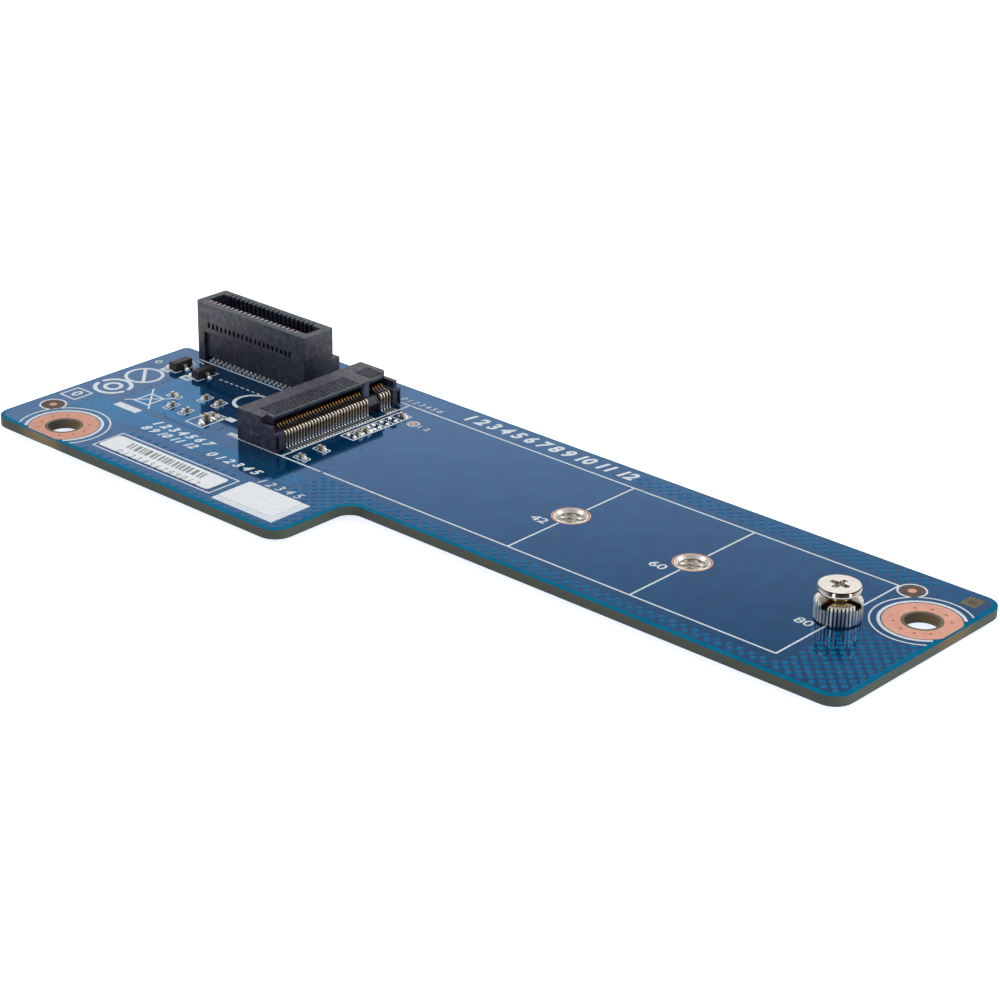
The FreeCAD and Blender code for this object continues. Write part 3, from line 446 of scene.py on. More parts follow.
# Drilled stitching holes, drawn as thin discs: the red-brown of their plated walls, darkened as painted shade of the
# holes.
stitch_hole_shade = mottled_finish("plating_in_painted_shade", 0.2, ("#93402A", "#AC5038"), {"Roughness": 0.6})
# Laminate in a mask window: dark brown, half shiny, with the weave just showing.
BARE_LAMINATE = {"Roughness": 0.5, "IOR": 1.5, "Specular IOR Level": 0.2}
bare = mottled_finish("bare_laminate", 0.4, ("#4A3A33", "#5E4B42"), BARE_LAMINATE, detail=3.0, relief=0.004)
# The same laminate over no copper at all: olive, as the cut edge is.
olive = mottled_finish("olive_laminate", 0.4, ("#5C5636", "#716A46"), BARE_LAMINATE, detail=3.0)


def land(centre, radius, bore, high):
    """A round land with a bore, cut off where it meets the rim of the board."""
    outer = [(min(x, LAND_LIMIT[0]), max(y, LAND_LIMIT[1])) for x, y in circle(centre, radius, 72)]
    return strip_between(outer, circle(centre, bore, 72), TOP, TOP + high)


lands = [land(centre, LAND_RADIUS, MOUNT_HOLE_RADIUS + LAND_GAP, FOIL) for centre in MOUNT_HOLES]
lands += [slab(circle(centre, TARGET_RADIUS, 24), TOP, TOP + 2 * FOIL) for centre in TARGETS]
lands.append(slab(circle(TEST_POINT, TEST_POINT_RADIUS, 24), TOP, TOP + TEST_POINT_RISE))
lands += [land(centre, INSERT_LAND_RADIUS, INSERT_HOLE_RADIUS, FOIL) for centre in INSERT_PLACES]
add_piece("copper_lands", lands, copper)
stitches = []
for (x, y), turns in zip(MOUNT_HOLES, STITCH_TURNS):
    for turn in map(math.radians, turns):
        spot = (x + STITCH_CIRCLE * math.cos(turn), y + STITCH_CIRCLE * math.sin(turn))
        stitches.append(slab(circle(spot, STITCH_RADIUS, 12), TOP, TOP + STITCH_RISE))
add_piece("stitch_holes", stitches, stitch_hole_shade)
windows = [slab(circle(centre, WINDOW_RADIUS, 40), TOP, TOP + WINDOW_RISE) for centre in TARGETS]
windows.append(slab(circle(SQUARE_MARK, SQUARE_MARK_RADIUS, 24), TOP, TOP + SQUARE_MARK_RISE))
add_piece("mask_windows", windows, bare)
clearings = [land(centre, MOUNT_HOLE_RADIUS + CLEARING, MOUNT_HOLE_RADIUS, WINDOW_RISE) for centre in MOUNT_HOLES]
clearings.append(slab(rectangle(*SQUARE), TOP, TOP + WINDOW_RISE))
add_piece("mask_clearings", clearings, olive)

# Legend print: white epoxy ink screened onto the mask: the drive's outline at its three lengths,
# rings round the holes, outlines of the small parts, plain marks and numbers. Crossing lines differ a
# little in height, so that no two faces share a level.
INK = 0.02
LINE = 0.23
NEAR_LINE, FAR_LINE, DRIVE_START, DRIVE_END = -5.5, 16.92, -25.25, 49.73
DRIVE_LINES = [
    (-34.8, NEAR_LINE, -18.6, NEAR_LINE),
    (-17.9, NEAR_LINE, DRIVE_END, NEAR_LINE),
    (-27.0, FAR_LINE, DRIVE_END, FAR_LINE),
    (DRIVE_END, NEAR_LINE, DRIVE_END, FAR_LINE),
    (DRIVE_START, NEAR_LINE, DRIVE_START, FAR_LINE),
    (-56.1, 9.2, -40.6, 9.2),
]
SHORTER_ENDS = (11.76, 29.73)
INSERT_GAP = 2.6
RING_LIMIT = (60.3, -20.9)
MOUNT_RINGS = [(4.92, 4.55), (5.82, 5.62)]
ROUND_MARK = (-57.14, -4.84)
# Rings: centre, outer and inner radius, then start, stop and steps of the turn where it isn't whole.
RINGS = [
    *[(target, 1.74, 1.52) for target in TARGETS],
    (TEST_POINT, 0.82, 0.6),
    ((-40.3, 3.8), 2.6, 2.12),
    ((-57.06, 0.36), 2.6, 2.15),
    (ROUND_MARK, 2.6, 2.05, 10, 175),
    (ROUND_MARK, 2.6, 2.05, 190, 355),
    (ROUND_MARK, 1.3, 0.8),
    ((-59.4, 4.9), 0.5, 0.28, 0, 360, 24),
]
LADDER = (-24.62, -22.45)
LADDER_LINES = [4.0, 5.45, 6.9, 8.35, 9.8, 11.25, 12.7, 14.3]
# Frames: left, low, right, high and the width of the line.
FRAMES = [
    (-44.35, -19.0, -23.45, -14.15, 0.2),
    (-51.6, -6.0, -49.2, -3.2, 0.25),
    (-59.9, -11.2, -57.15, -8.3, 0.24),
    (-57.1, 3.3, -55.9, 4.3, 0.42),
    (-53.2, 3.2, -51.8, 4.1, 0.42),
    (-41.75, -6.2, -38.8, -1.9, 0.2),
    (LADDER[0], LADDER_LINES[0], LADDER[1], LADDER_LINES[-1], 0.18),
]
BLOCKS = [
    (-22.34, -19.64, -12.14, -13.34),
    (-52.45, -8.85, -48.25, -7.65),
    (-35.0, -5.5, -33.3, -4.7),
    (-38.8, -2.5, -37.3, -1.5),
]
TRANSISTOR_PLACES = [(-55.8, 5.55), (-51.6, 5.65)]
TRANSISTOR_LEFT, TRANSISTOR_RIGHT, TRANSISTOR_HALF, LEAD_GAP = 0.9, 0.95, 1.75, 0.75
# Strokes: start, end, width and how much higher than the ink they stand.
STROKES = [
    (-58.6, 1.9, -55.5, -1.2, 0.45, 0.004),
    (-52.7, -1.9, -48.2, -6.7, 0.22, 0.004),
    (-52.6, -6.7, -48.2, -2.2, 0.22, 0.008),
    (-56.6, 8.2, -55.3, 7.6, 0.2, 0.0),
    (-56.0, 8.7, -54.6, 8.4, 0.2, 0.0),
    *[(-49.0 + i, 6.24, -48.65 + i, 6.24, 0.2, 0.0) for i in range(8)],
    *[(LADDER[0], y, LADDER[1], y, 0.16, 0.004) for y in LADDER_LINES[1:-1]],
]
for x, y in TRANSISTOR_PLACES:
    left, right = x - TRANSISTOR_LEFT, x + TRANSISTOR_RIGHT
    for side in (-1, 1):
        STROKES.append((right, y + side * LEAD_GAP, right, y + side * TRANSISTOR_HALF, 0.2, 0.0))
        STROKES.append((left, y + side * TRANSISTOR_HALF, right, y + side * TRANSISTOR_HALF, 0.2, 0.003))
# Numbers: text, place, height, stretch, weight and slant.
NUMBERS = [
    ("42", 9.5, 2.43, 1.3, 1.25, 0.015),
    ("60", 27.2, 2.43, 1.3, 1.25, 0.015),
    ("80", 47.45, 2.43, 1.3, 1.25, 0.015),
    ("0", -58.5, -9.75, 1.6, 1.0, 0.03),
    ("1 2 3 4 5 6 7 8 9 10 11 12", -3.9, 19.2, 1.9, 0.97, 0.055, 0.2),
    ("0 1 2 3 4 5 6", -24.3, 18.05, 0.95, 1.0, 0.0, 0.2),
    ("1 2", -18.9, 12.7, 0.9, 1.2, 0.0),
    ("1 2 3 4 5 6 7", -39.2, -9.1, 1.3, 1.08, 0.06, 0.25),
    ("8 9 10 11 12", -39.5, -11.0, 1.25, 1.05, 0.05, 0.25),
    ("0 1 2 3 4 5", -27.9, -11.0, 1.3, 1.1, 0.045, 0.25),
    ("1 2 3 4 5", -18.4, -12.35, 1.3, 1.1, 0.0, 0.2),
]
SIZE_OF_HEIGHT = 1.42
CHIP_OUTLINE = (2.3, 1.2)
CHIP_CORNER = 0.3
CHIP_LINE = 0.15
CHIPS_ALONG = [(-48.93, -1.7), (-40.05, -2.85), (-23.03, -4.2), (-23.16, -0.73)]
CHIPS_ACROSS = [(-46.73, -4.16), (-44.02, -4.15), (-45.41, 0.39), (-42.82, 0.39)]
# Legend ink: chalk white, satin, with the faint texture of the screen.
ink, tree, shader, place = new_finish("legend_ink")
cover = add_node(tree, "TexNoise", "Fac", {"Vector": place, "Scale": 1 / (0.5 * MM), "Detail": 3.0})
white = add_node(tree, "ValToRGB", "Color", {"Fac": cover}, [(0.3, "#D6DFE8"), (0.65, "#E6ECF2")])
mesh_marks = add_node(tree, "TexNoise", "Fac", {"Vector": place, "Scale": 1 / (0.15 * MM)})
screened = add_node(tree, "Bump", "Normal", {"Height": mesh_marks, "Distance": 0.004 * MM})
feed(tree, shader, {"Base Color": white, "Roughness": 0.55, "IOR": 1.5, "Specular IOR Level": 0.3,
                    "Normal": screened})


def printed_frame(left, low, right, high, width):
    """A printed frame, its line centred on a rectangle."""
    loops = [rectangle(left - w, low - w, right + w, high + w) for w in (width / 2, -width / 2)]
    return strip_between(*loops, TOP, TOP + INK)


def chip_outline(x, y, length, width):
    """A printed outline with rounded corners round a small part."""
    loops = []
    for inset in (0.0, CHIP_LINE):
        a, b, r = length / 2 - inset, width / 2 - inset, CHIP_CORNER - inset
        loops.append(rounded([(x - a, y - b, r), (x + a, y - b, r), (x + a, y + b, r), (x - a, y + b, r)], 4))
    return strip_between(*loops, TOP, TOP + INK)


def printed_ring(centre, outer, inner, start=0.0, stop=360.0, steps=72):
    """A printed ring, or a part of one between two turns in degrees."""
    turns = [math.radians(start + (stop - start) * i / steps) for i in range(steps + 1)]
    lines = [[(centre[0] + r * math.cos(t), centre[1] + r * math.sin(t)) for t in turns] for r in (outer, inner)]
    return strip_between(*lines, TOP, TOP + INK, closed=False)


def ring_on_board(centre, outer, inner):
    """A printed ring that stops where it meets the rim of the board."""
    runs = []
    turns = [math.radians(3 * i) for i in range(121)]
    for a, b in zip(turns, turns[1:]):
        spots = [(centre[0] + outer * math.cos(t), centre[1] + outer * math.sin(t)) for t in (a, b)]
        if all(x < RING_LIMIT[0] and y > RING_LIMIT[1] for x, y in spots):
            runs.append(printed_ring(centre, outer, inner, math.degrees(a), math.degrees(b), 1))
    return runs


def numerals(text, x, y, height, stretch, weight, slant=0.0):
    """Printed numbers, centred on a place, as thick as the ink."""
    curve = bpy.data.curves.new("numerals", "FONT")
    curve.body = text
    curve.align_x = "CENTER"
    curve.align_y = "CENTER"
    curve.size = height * SIZE_OF_HEIGHT
    curve.offset = weight * height
    curve.shear = slant
    curve.resolution_u = 4
    curve.extrude = INK / 2
    drawn = bpy.data.objects.new("numerals", curve)
    bpy.context.scene.collection.objects.link(drawn)
    bpy.context.view_layer.update()
    mesh = bpy.data.meshes.new_from_object(drawn.evaluated_get(bpy.context.evaluated_depsgraph_get()))
    points = [(x + v.co.x * stretch, y + v.co.y, TOP + INK / 2 + v.co.z) for v in mesh.vertices]
    faces = [list(face.vertices) for face in mesh.polygons]
    bpy.data.objects.remove(drawn)
    bpy.data.meshes.remove(mesh)
    bpy.data.curves.remove(curve)
    return points, faces


for x, (_, insert_y) in zip(SHORTER_ENDS, INSERT_PLACES):
    DRIVE_LINES.append((x, NEAR_LINE, x, insert_y - INSERT_GAP))
    DRIVE_LINES.append((x, insert_y + INSERT_GAP, x, FAR_LINE))
prints = [stroke(*line, LINE, INK + 0.0015 * i) for i, line in enumerate(DRIVE_LINES)]
for centre in MOUNT_HOLES:
    for outer, inner in MOUNT_RINGS:
        prints += ring_on_board(centre, outer, inner)
prints += [printed_ring(*ring) for ring in RINGS]
prints += [printed_frame(*lines) for lines in FRAMES]
prints += [slab(rectangle(*block), TOP, TOP + INK) for block in BLOCKS]
prints += [stroke(*ends, width, INK + lift) for *ends, width, lift in STROKES]
prints += [numerals(*row) for row in NUMBERS]
prints += [chip_outline(x, y, *CHIP_OUTLINE) for x, y in CHIPS_ALONG]
prints += [chip_outline(x, y, *CHIP_OUTLINE[::-1]) for x, y in CHIPS_ACROSS]
add_piece("legend_print", prints, ink)

# Threaded inserts: turned brass, tin plated, pressed up from below and soldered by their flange.
# The mouth is countersunk and the thread is cut through.
THREAD_PITCH = 0.5
INSERT_THREAD_RADIUS = 1.46
INSERT_THREAD_DEPTH = 0.3
COUNTERSINK = 0.3
INSERT_PROFILE = [
    (1.5, 0.0), (2.7, 0.0), (2.8, 0.1), (2.8, UNDERSIDE), (2.1, UNDERSIDE),
    (2.1, TOP - 0.02), (2.05, TOP + 0.02), (1.95, TOP + 0.02), (1.6, TOP - COUNTERSINK),
]
# Tin plate: pale warm grey metal, softly shiny, a little dulled by handling.
tin, tree, shader, place = new_finish("tin_plate")
dull = add_node(tree, "TexNoise", "Fac", {"Vector": place, "Scale": 1 / (0.5 * MM), "Detail": 3.0})
tint = add_node(tree, "ValToRGB", "Color", {"Fac": dull}, [(0.3, "#D2CCC2"), (0.7, "#EBE7DF")])
haze = add_node(tree, "MapRange", "Result", {"Value": dull, "To Min": 0.28, "To Max": 0.4})
pits = add_node(tree, "TexNoise", "Fac", {"Vector": place, "Scale": 1 / (0.15 * MM)})
pitted = add_node(tree, "Bump", "Normal", {"Height": pits, "Distance": 0.004 * MM})
feed(tree, shader, {"Base Color": tint, "Roughness": haze, "Metallic": 1.0, "Normal": pitted})


def around(radius, turn):
    """A point at a radius and a part of a turn."""
    return radius * math.cos(2 * math.pi * turn), radius * math.sin(2 * math.pi * turn)


def turned(centre, profile, steps=64):
    """A turned surface: a profile of radius and height swept round an upright axis."""
    points = []
    for i in range(steps):
        for radius, z in profile:
            x, y = around(radius, i / steps)
            points.append((centre[0] + x, centre[1] + y, z))
    count = len(profile)
    faces = []
    for i in range(steps):
        j = (i + 1) % steps
        faces += [(i * count + k, j * count + k, j * count + k + 1, i * count + k + 1) for k in range(count - 1)]
    return points, faces


def threaded_wall(centre, radius, depth, low, high, steps=48):
    """The wall of a tapped hole or a stud, with its thread as a helix."""
    rows = int((high - low) / THREAD_PITCH * 8)
    points = []
    for i in range(steps + 1):
        turn = i / steps
        for k in range(rows + 1):
            z = low + (high - low) * k / rows
            wave = abs(((z / THREAD_PITCH - turn) % 1.0) * 2 - 1)
            x, y = around(radius - depth / 2 + depth * wave, turn)
            points.append((centre[0] + x, centre[1] + y, z))
    faces = []
    for i in range(steps):
        here, after = i * (rows + 1), (i + 1) * (rows + 1)
        faces += [(here + k, after + k, after + k + 1, here + k + 1) for k in range(rows)]
    return points, faces


insert_shapes = []
for centre in INSERT_PLACES:
    insert_shapes.append(turned(centre, INSERT_PROFILE))
    insert_shapes.append(threaded_wall(centre, INSERT_THREAD_RADIUS, INSERT_THREAD_DEPTH, 0.0, TOP - COUNTERSINK))
add_piece("tapped_inserts", insert_shapes, tin, ["threaded_inserts"], smooth=True)

# Standoff: turned steel with bright nickel plating, screwed into the insert for the longest drive.
# The collar is knurled for the fingers, rounded at the top and slotted crosswise for a driver.
STAND = INSERT_PLACES[2]
COLLAR_RADIUS = 2.675
COLLAR_HEIGHT = 2.45
RIBS = 38
RIB_DEPTH = 0.24
RIB_FLANK = 0.3
RIB_PARTS = (0.0, 0.12, 0.3, 0.5, 0.7, 0.88)
SLOT_HALF = 0.45
SLOT_FLOOR = 1.85
STAND_BORE = 0.9
# Levels of the collar below and above the slots, each with how far the wall stands in there.
COLLAR_LEVELS = [(0.0, 0.2), (0.13, 0.2), (0.2, 0.0), (SLOT_FLOOR, 0.0)]
SHOULDER = [(SLOT_FLOOR, 0.0), (2.18, 0.0), (2.3, 0.05), (2.39, 0.16), (COLLAR_HEIGHT, 0.34)]
STUD_RADIUS = 1.24
STUD_THREAD_DEPTH = 0.12
STUD_PROFILE = [(1.18, TOP - 1.84), (1.1, TOP - 1.9), (STAND_BORE, TOP - 1.9), (STAND_BORE, TOP + 2.4)]
# Nickel on knurled steel: warm silver, each rib with a soft shine and a near-white painted highlight on
# its crest, painted shade in the grooves, and the brown of thin plating in the slots, darkened as painted shade.
GROOVE_SHADE_REACH = (2.2, 2.7)
SHADE_FREE_LEVEL = (2.2, 2.32)
STREAK = 0.16
knurled, tree, shader, place = new_finish("knurled_nickel_painted_light")
drawn_out = add_node(tree, "Mapping", "Vector", {"Vector": place, "Scale": (1, 1, 0.12)})
streaks = add_node(tree, "TexNoise", "Fac", {"Vector": drawn_out, "Scale": 1 / (STREAK * MM), "Detail": 3.0})
on_plan = add_node(tree, "Mapping", "Vector", {"Vector": place, "Scale": (1, 1, 0)})
axis = (STAND[0] * MM, STAND[1] * MM, 0)
# Painted light and shade by distance from the axis: the slots' brass brown darkened, dark grooves, near-white crests.
out = add_node(tree, "VectorMath", "Value", {0: on_plan, 1: axis}, operation="DISTANCE")
out = add_node(tree, "MapRange", "Result", {"Value": out, "From Min": GROOVE_SHADE_REACH[0] * MM,
                                            "From Max": GROOVE_SHADE_REACH[1] * MM})
tint = add_node(tree, "ValToRGB", "Color", {"Fac": out},
                [(0.0, "#8A6E3A"), (0.2, "#5C4826"), (0.5, "#37322D"), (0.72, "#A8A299"), (0.92, "#F6F3EE")])
# The rounded top, above the shade-free level, keeps the plain nickel colour.
level = add_node(tree, "SeparateXYZ", "Z", {"Vector": place})
level = add_node(tree, "MapRange", "Result", {"Value": level, "From Min": (TOP + SHADE_FREE_LEVEL[0]) * MM,
                                              "From Max": (TOP + SHADE_FREE_LEVEL[1]) * MM})
tint = add_node(tree, "Mix", 2, {0: level, 6: tint, 7: linear("#DDD8CF")}, data_type="RGBA")
haze = add_node(tree, "MapRange", "Result", {"Value": streaks, "To Min": 0.42, "To Max": 0.28})
drawn = add_node(tree, "Bump", "Normal", {"Height": streaks, "Distance": 0.006 * MM})
feed(tree, shader, {"Base Color": tint, "Roughness": haze, "Metallic": 1.0, "Normal": drawn})


def rib_radius(turn):
    """The radius of the knurled collar at a part of a turn."""
    across = (turn * RIBS) % 1.0
    return COLLAR_RADIUS - RIB_DEPTH * max(0.0, 1 - min(across, 1 - across) / RIB_FLANK)


def stacked(loops, levels, top=True):
    """Walls through loops of points at rising levels, closed at the top."""
    count = len(loops[0])
    points = [(STAND[0] + x, STAND[1] + y, TOP + z) for loop, z in zip(loops, levels) for x, y in loop]
    faces = []
    for k in range(len(loops) - 1):
        here, above = k * count, (k + 1) * count
        faces += [(here + i, here + (i + 1) % count, above + (i + 1) % count, above + i) for i in range(count)]
    if top:
        faces.append(list(range((len(loops) - 1) * count, len(loops) * count)))
    return points, faces


def quarter_turned(plan, quarter):
    """A plan turned by quarters of a turn about its origin."""
    turn = math.pi / 2 * quarter
    return [(x * math.cos(turn) - y * math.sin(turn), x * math.sin(turn) + y * math.cos(turn)) for x, y in plan]


rib_turns = [(i + part) / RIBS for i in range(RIBS) for part in RIB_PARTS]
loops = [[around(min(rib_radius(t), COLLAR_RADIUS - inset), t) for t in rib_turns] for _, inset in COLLAR_LEVELS]
loops.append([around(STAND_BORE, t) for t in rib_turns])
collar = [stacked(loops, [z for z, _ in COLLAR_LEVELS] + [SLOT_FLOOR], top=False)]
for quarter in range(4):
    loops = []
    for z, inset in SHOULDER:
        outer = []
        for t in [t for t in rib_turns if t < 0.25]:
            radius = min(rib_radius(t + 0.25 * quarter), COLLAR_RADIUS - inset * 0.4) - inset * 0.6
            x, y = around(radius, t)
            outer.append((max(x, SLOT_HALF), max(y, SLOT_HALF)))
        inner = [around(STAND_BORE, degrees / 360) for degrees in (60, 50, 40, 30)]
        loops.append(quarter_turned(outer + inner, quarter))
    collar.append(stacked(loops, [z for z, _ in SHOULDER]))
collar.append(threaded_wall(STAND, STUD_RADIUS, STUD_THREAD_DEPTH, TOP - 1.85, TOP + 0.02))
collar.append(turned(STAND, STUD_PROFILE, 32))
add_piece("knurled_standoff", collar, knurled, ["drive_standoff"], smooth=True)

# Clamp screw: cold-headed steel with bright nickel plating, screwed down into the standoff. Its wide
# flat head has rounded edges and a pressed cross recess.
HEAD_SEAT = TOP + COLLAR_HEIGHT + 0.79
HEAD_HEIGHT = 0.82
HEAD_TOP = HEAD_SEAT + HEAD_HEIGHT
FLAT_RADIUS = 2.33
# The side of the head, measured up from its seat.
HEAD_SIDE = [
    (1.42, 0.0), (2.15, 0.0), (2.3, 0.03), (2.39, 0.1), (2.43, 0.2), (2.43, 0.4), (2.42, 0.58),
    (2.41, 0.72), (2.38, 0.79), (FLAT_RADIUS, HEAD_HEIGHT),
]
NECK = [
    (0.8, TOP + 0.4), (0.85, TOP + 0.5), (0.85, TOP + COLLAR_HEIGHT - 0.1), (1.2, HEAD_SEAT - 0.83),
    (1.5, HEAD_SEAT - 0.66), (1.58, HEAD_SEAT - 0.4), (1.5, HEAD_SEAT - 0.18), (1.42, HEAD_SEAT),
]
RECESS_SPAN = 2.4
RECESS_ARM = 0.66
RECESS_TAPER = 0.55
RECESS_FLOOR = 0.16
# Bright nickel: a warm mirror, a little softened by the barrel it was plated in, on the recess and on
# the rolled side of the head. That side leans back slightly, so it mirrors the dark of the room and
# the lamps; its copy of the nickel is painted darker as painted shade. Both carry a thin dark brown
# painted reflection line under the upper edge of the head.
REFLECTED_LINE_LEVEL = HEAD_SEAT + 0.78
REFLECTED_LINE_HALF = 0.07
bright = []
# The rolled side's copy has darker colours: painted shade.
for name, lean, dark, light in (("bright_nickel", 0.0, "#D8D2C8", "#E9E4DB"),
                                ("rolled_nickel_painted_shade", 0.3, "#A8A29B", "#BDB7B0")):
    material, tree, shader, place = new_finish(name)
    barrel = add_node(tree, "TexNoise", "Fac", {"Vector": place, "Scale": 1 / (0.8 * MM), "Detail": 3.0})
    tint = add_node(tree, "ValToRGB", "Color", {"Fac": barrel}, [(0.3, dark), (0.7, light)])
    level = add_node(tree, "SeparateXYZ", "Z", {"Vector": place})
    # Painted reflection: a thin dark brown line at one height, under the upper edge.
    reflected_line = add_node(tree, "Math", "Value", {0: level, 1: REFLECTED_LINE_LEVEL * MM, 2: REFLECTED_LINE_HALF * MM}, operation="COMPARE")
    tint = add_node(tree, "Mix", 2, {0: reflected_line, 6: tint, 7: linear("#5A4F46")}, data_type="RGBA")
    fine = add_node(tree, "TexNoise", "Fac", {"Vector": place, "Scale": 1 / (0.3 * MM)})
    haze = add_node(tree, "MapRange", "Result", {"Value": fine, "To Min": 0.12, "To Max": 0.18})
    facing = add_node(tree, "NewGeometry", "Normal", {})
    facing = add_node(tree, "VectorMath", "Vector", {0: facing, 1: (0.0, 0.0, lean)}, operation="ADD")
    facing = add_node(tree, "VectorMath", "Vector", {0: facing}, operation="NORMALIZE")
    feed(tree, shader, {"Base Color": tint, "Roughness": haze, "Metallic": 1.0, "Normal": facing})
    bright.append(material)
# Nickel on the flat of the head: the same plating, scuffed to a satin.
satin = mottled_finish("satin_nickel", 0.9, ("#DFD9D0", "#E6E1D8"), {"Metallic": 1.0},
                       detail=3.0, dulling=(0.27, 0.31))
# Nickel worn thin over brass on the neck: a warm gold glow under the head.
worn = mottled_finish("worn_nickel", 0.5, ("#A98E5E", "#D3BC8C"), {"Metallic": 1.0},
                      detail=3.0, dulling=(0.12, 0.2))


def cross(scale):
    """The outline of the cross recess: four arms that narrow to the end."""
    a, b, c = RECESS_SPAN / 2 * scale, RECESS_ARM / 2 * scale, RECESS_ARM * 0.62 * scale
    arm = [(c, -c * 0.9), (a * 0.9, -b), (a, -b * 0.5), (a, b * 0.5), (a * 0.9, b)]
    return [(STAND[0] + x, STAND[1] + y) for quarter in range(4) for x, y in quarter_turned(arm, quarter)]


screw_neck = turned(STAND, NECK)
head_side = turned(STAND, [(radius, HEAD_SEAT + up) for radius, up in HEAD_SIDE], 96)
upper_cross, lower_cross = cross(1.0), cross(RECESS_TAPER)
head_top = pierced(circle(STAND, FLAT_RADIUS, 96), [upper_cross], HEAD_TOP - 0.05, HEAD_TOP)
count = len(upper_cross)
recess_points = [(x, y, HEAD_TOP) for x, y in upper_cross]
recess_points += [(x, y, HEAD_SEAT + RECESS_FLOOR) for x, y in lower_cross]
recess_faces = [(i, (i + 1) % count, count + (i + 1) % count, count + i) for i in range(count)]
recess = (recess_points, [*recess_faces, list(range(count, 2 * count))])
add_piece("flat_head_screw", [(*head_side, 3), (*head_top, 1), recess, (*screw_neck, 2)],
          [bright[0], satin, worn, bright[1]], ["clamp_screw"], smooth=True)

# Drive socket: one black moulding of glass-filled polymer with a grooved roof, a key rib and a comb
# for the contacts. It stands on small pads and is held down by two soldered tabs.
SOCKET_ORIGIN = (-30.5, 5.55)
NEAR_FACE = SOCKET_ORIGIN[1] - 11.1
# Corners of the key rib, from the socket's origin, each with its radius.
KEY_CORNERS = [(2.4, 5.65, 0.02), (2.92, 5.65, 0.3), (2.92, 6.6, 0.3), (2.4, 6.6, 0.02)]
KEY_LEVELS = (2.1, 3.96)
# Marks of the ejector pins on the near face: along, up and radius.
PIN_MARKS = [(-30.43, 3.74, 0.34), (-29.45, 3.83, 0.13)]
# The first rib of the nose: left, low, right, high, and its foot and top above the board.
NOSE_RIB = (3.3, 5.5, 3.72, 5.64)
NOSE_RIB_LEVELS = (0.16, 1.02)
NOSE_RIB_PITCH = 0.42
# Glass-filled polymer from a spark-eroded mould: charcoal with bluish and brownish flow clouds, a
# fine matt grain, drawn coarser than it is so that it shows, and edges softly rounded. Painted on it: a
# thin pale painted highlight along the upper edges, a pinkish painted highlight on the teeth of the edge
# socket's rim, and painted shade that makes that socket's lower half darker.
EDGE_SOCKET_BEFORE = -36.0
SHADED_BELOW = (7.5, 7.0)
EDGE_ROUNDING_AND_HIGHLIGHT = 0.13
# Middle and half of the box round the teeth of the rim, along, across and up.
RIM_TEETH_HIGHLIGHT = [(-46.95, 8.1), (10.42, 0.32), (10.36, 0.03)]
polymer, tree, shader, place = new_finish("moulded_polymer")
flow = add_node(tree, "TexNoise", "Fac", {"Vector": place, "Scale": 1 / (0.8 * MM), "Detail": 5.0,
                                          "Roughness": 0.7})
clouds = add_node(tree, "TexNoise", "Fac", {"Vector": place, "Scale": 1 / (2.3 * MM), "Detail": 2.0})
tone = add_node(tree, "ValToRGB", "Color", {"Fac": flow}, [(0.4, "#10101C"), (0.5, "#1F1E2E"), (0.6, "#383449")])
cast = add_node(tree, "ValToRGB", "Color", {"Fac": clouds}, [(0.4, "#182440"), (0.6, "#332838")])
tint = add_node(tree, "Mix", 2, {0: 0.45, 6: tone, 7: cast}, data_type="RGBA")
grain = add_node(tree, "TexNoise", "Fac", {"Vector": place, "Scale": 1 / (0.16 * MM), "Detail": 3.0})
matt = add_node(tree, "MapRange", "Result", {"Value": grain, "To Min": 0.34, "To Max": 0.52})
soft_edge = add_node(tree, "Bevel", "Normal", {"Radius": EDGE_ROUNDING_AND_HIGHLIGHT * MM}, samples=8)
spot = [add_node(tree, "SeparateXYZ", axis, {"Vector": place}) for axis in "XYZ"]
edge_socket = add_node(tree, "Math", "Value", {0: spot[0], 1: EDGE_SOCKET_BEFORE * MM}, operation="LESS_THAN")
# Painted shade: the edge socket turns near black below a height.
lower_shade = add_node(tree, "MapRange", "Result", {"Value": spot[2], "From Min": SHADED_BELOW[0] * MM,
                                               "From Max": SHADED_BELOW[1] * MM, "To Max": 0.55})
lower_shade = add_node(tree, "Math", "Value", {0: lower_shade, 1: edge_socket}, operation="MULTIPLY")
tint = add_node(tree, "Mix", 2, {0: lower_shade, 6: tint, 7: linear("#0E0E14")}, data_type="RGBA")
flat = add_node(tree, "NewGeometry", "True Normal", {})
lean = [add_node(tree, "SeparateXYZ", axis, {"Vector": flat}) for axis in "XZ"]
wall = add_node(tree, "Math", "Value", {0: lean[1], 1: 0.0, 2: 0.5}, operation="COMPARE")
front = add_node(tree, "Math", "Value", {0: lean[0], 1: edge_socket}, operation="SUBTRACT")
front = add_node(tree, "Math", "Value", {0: front, 1: 0.5}, operation="GREATER_THAN")
# Painted highlight: a thin pale teal line along the upper edges of both sockets.
rims = []
for name, side in (("edge_socket_housing", wall), ("drive_socket_housing", front)):
    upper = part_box(name)[1].z
    rim = add_node(tree, "Math", "Value", {0: spot[2], 1: upper, 2: EDGE_ROUNDING_AND_HIGHLIGHT * MM}, operation="COMPARE")
    rims.append(add_node(tree, "Math", "Value", {0: rim, 1: side}, operation="MULTIPLY"))
edge_highlight = add_node(tree, "Math", "Value", {0: rims[0], 1: rims[1]}, operation="MAXIMUM")
edge_highlight = add_node(tree, "Math", "Value", {0: edge_highlight, 1: 0.8}, operation="MULTIPLY")
tint = add_node(tree, "Mix", 2, {0: edge_highlight, 6: tint, 7: linear("#64868F")}, data_type="RGBA")
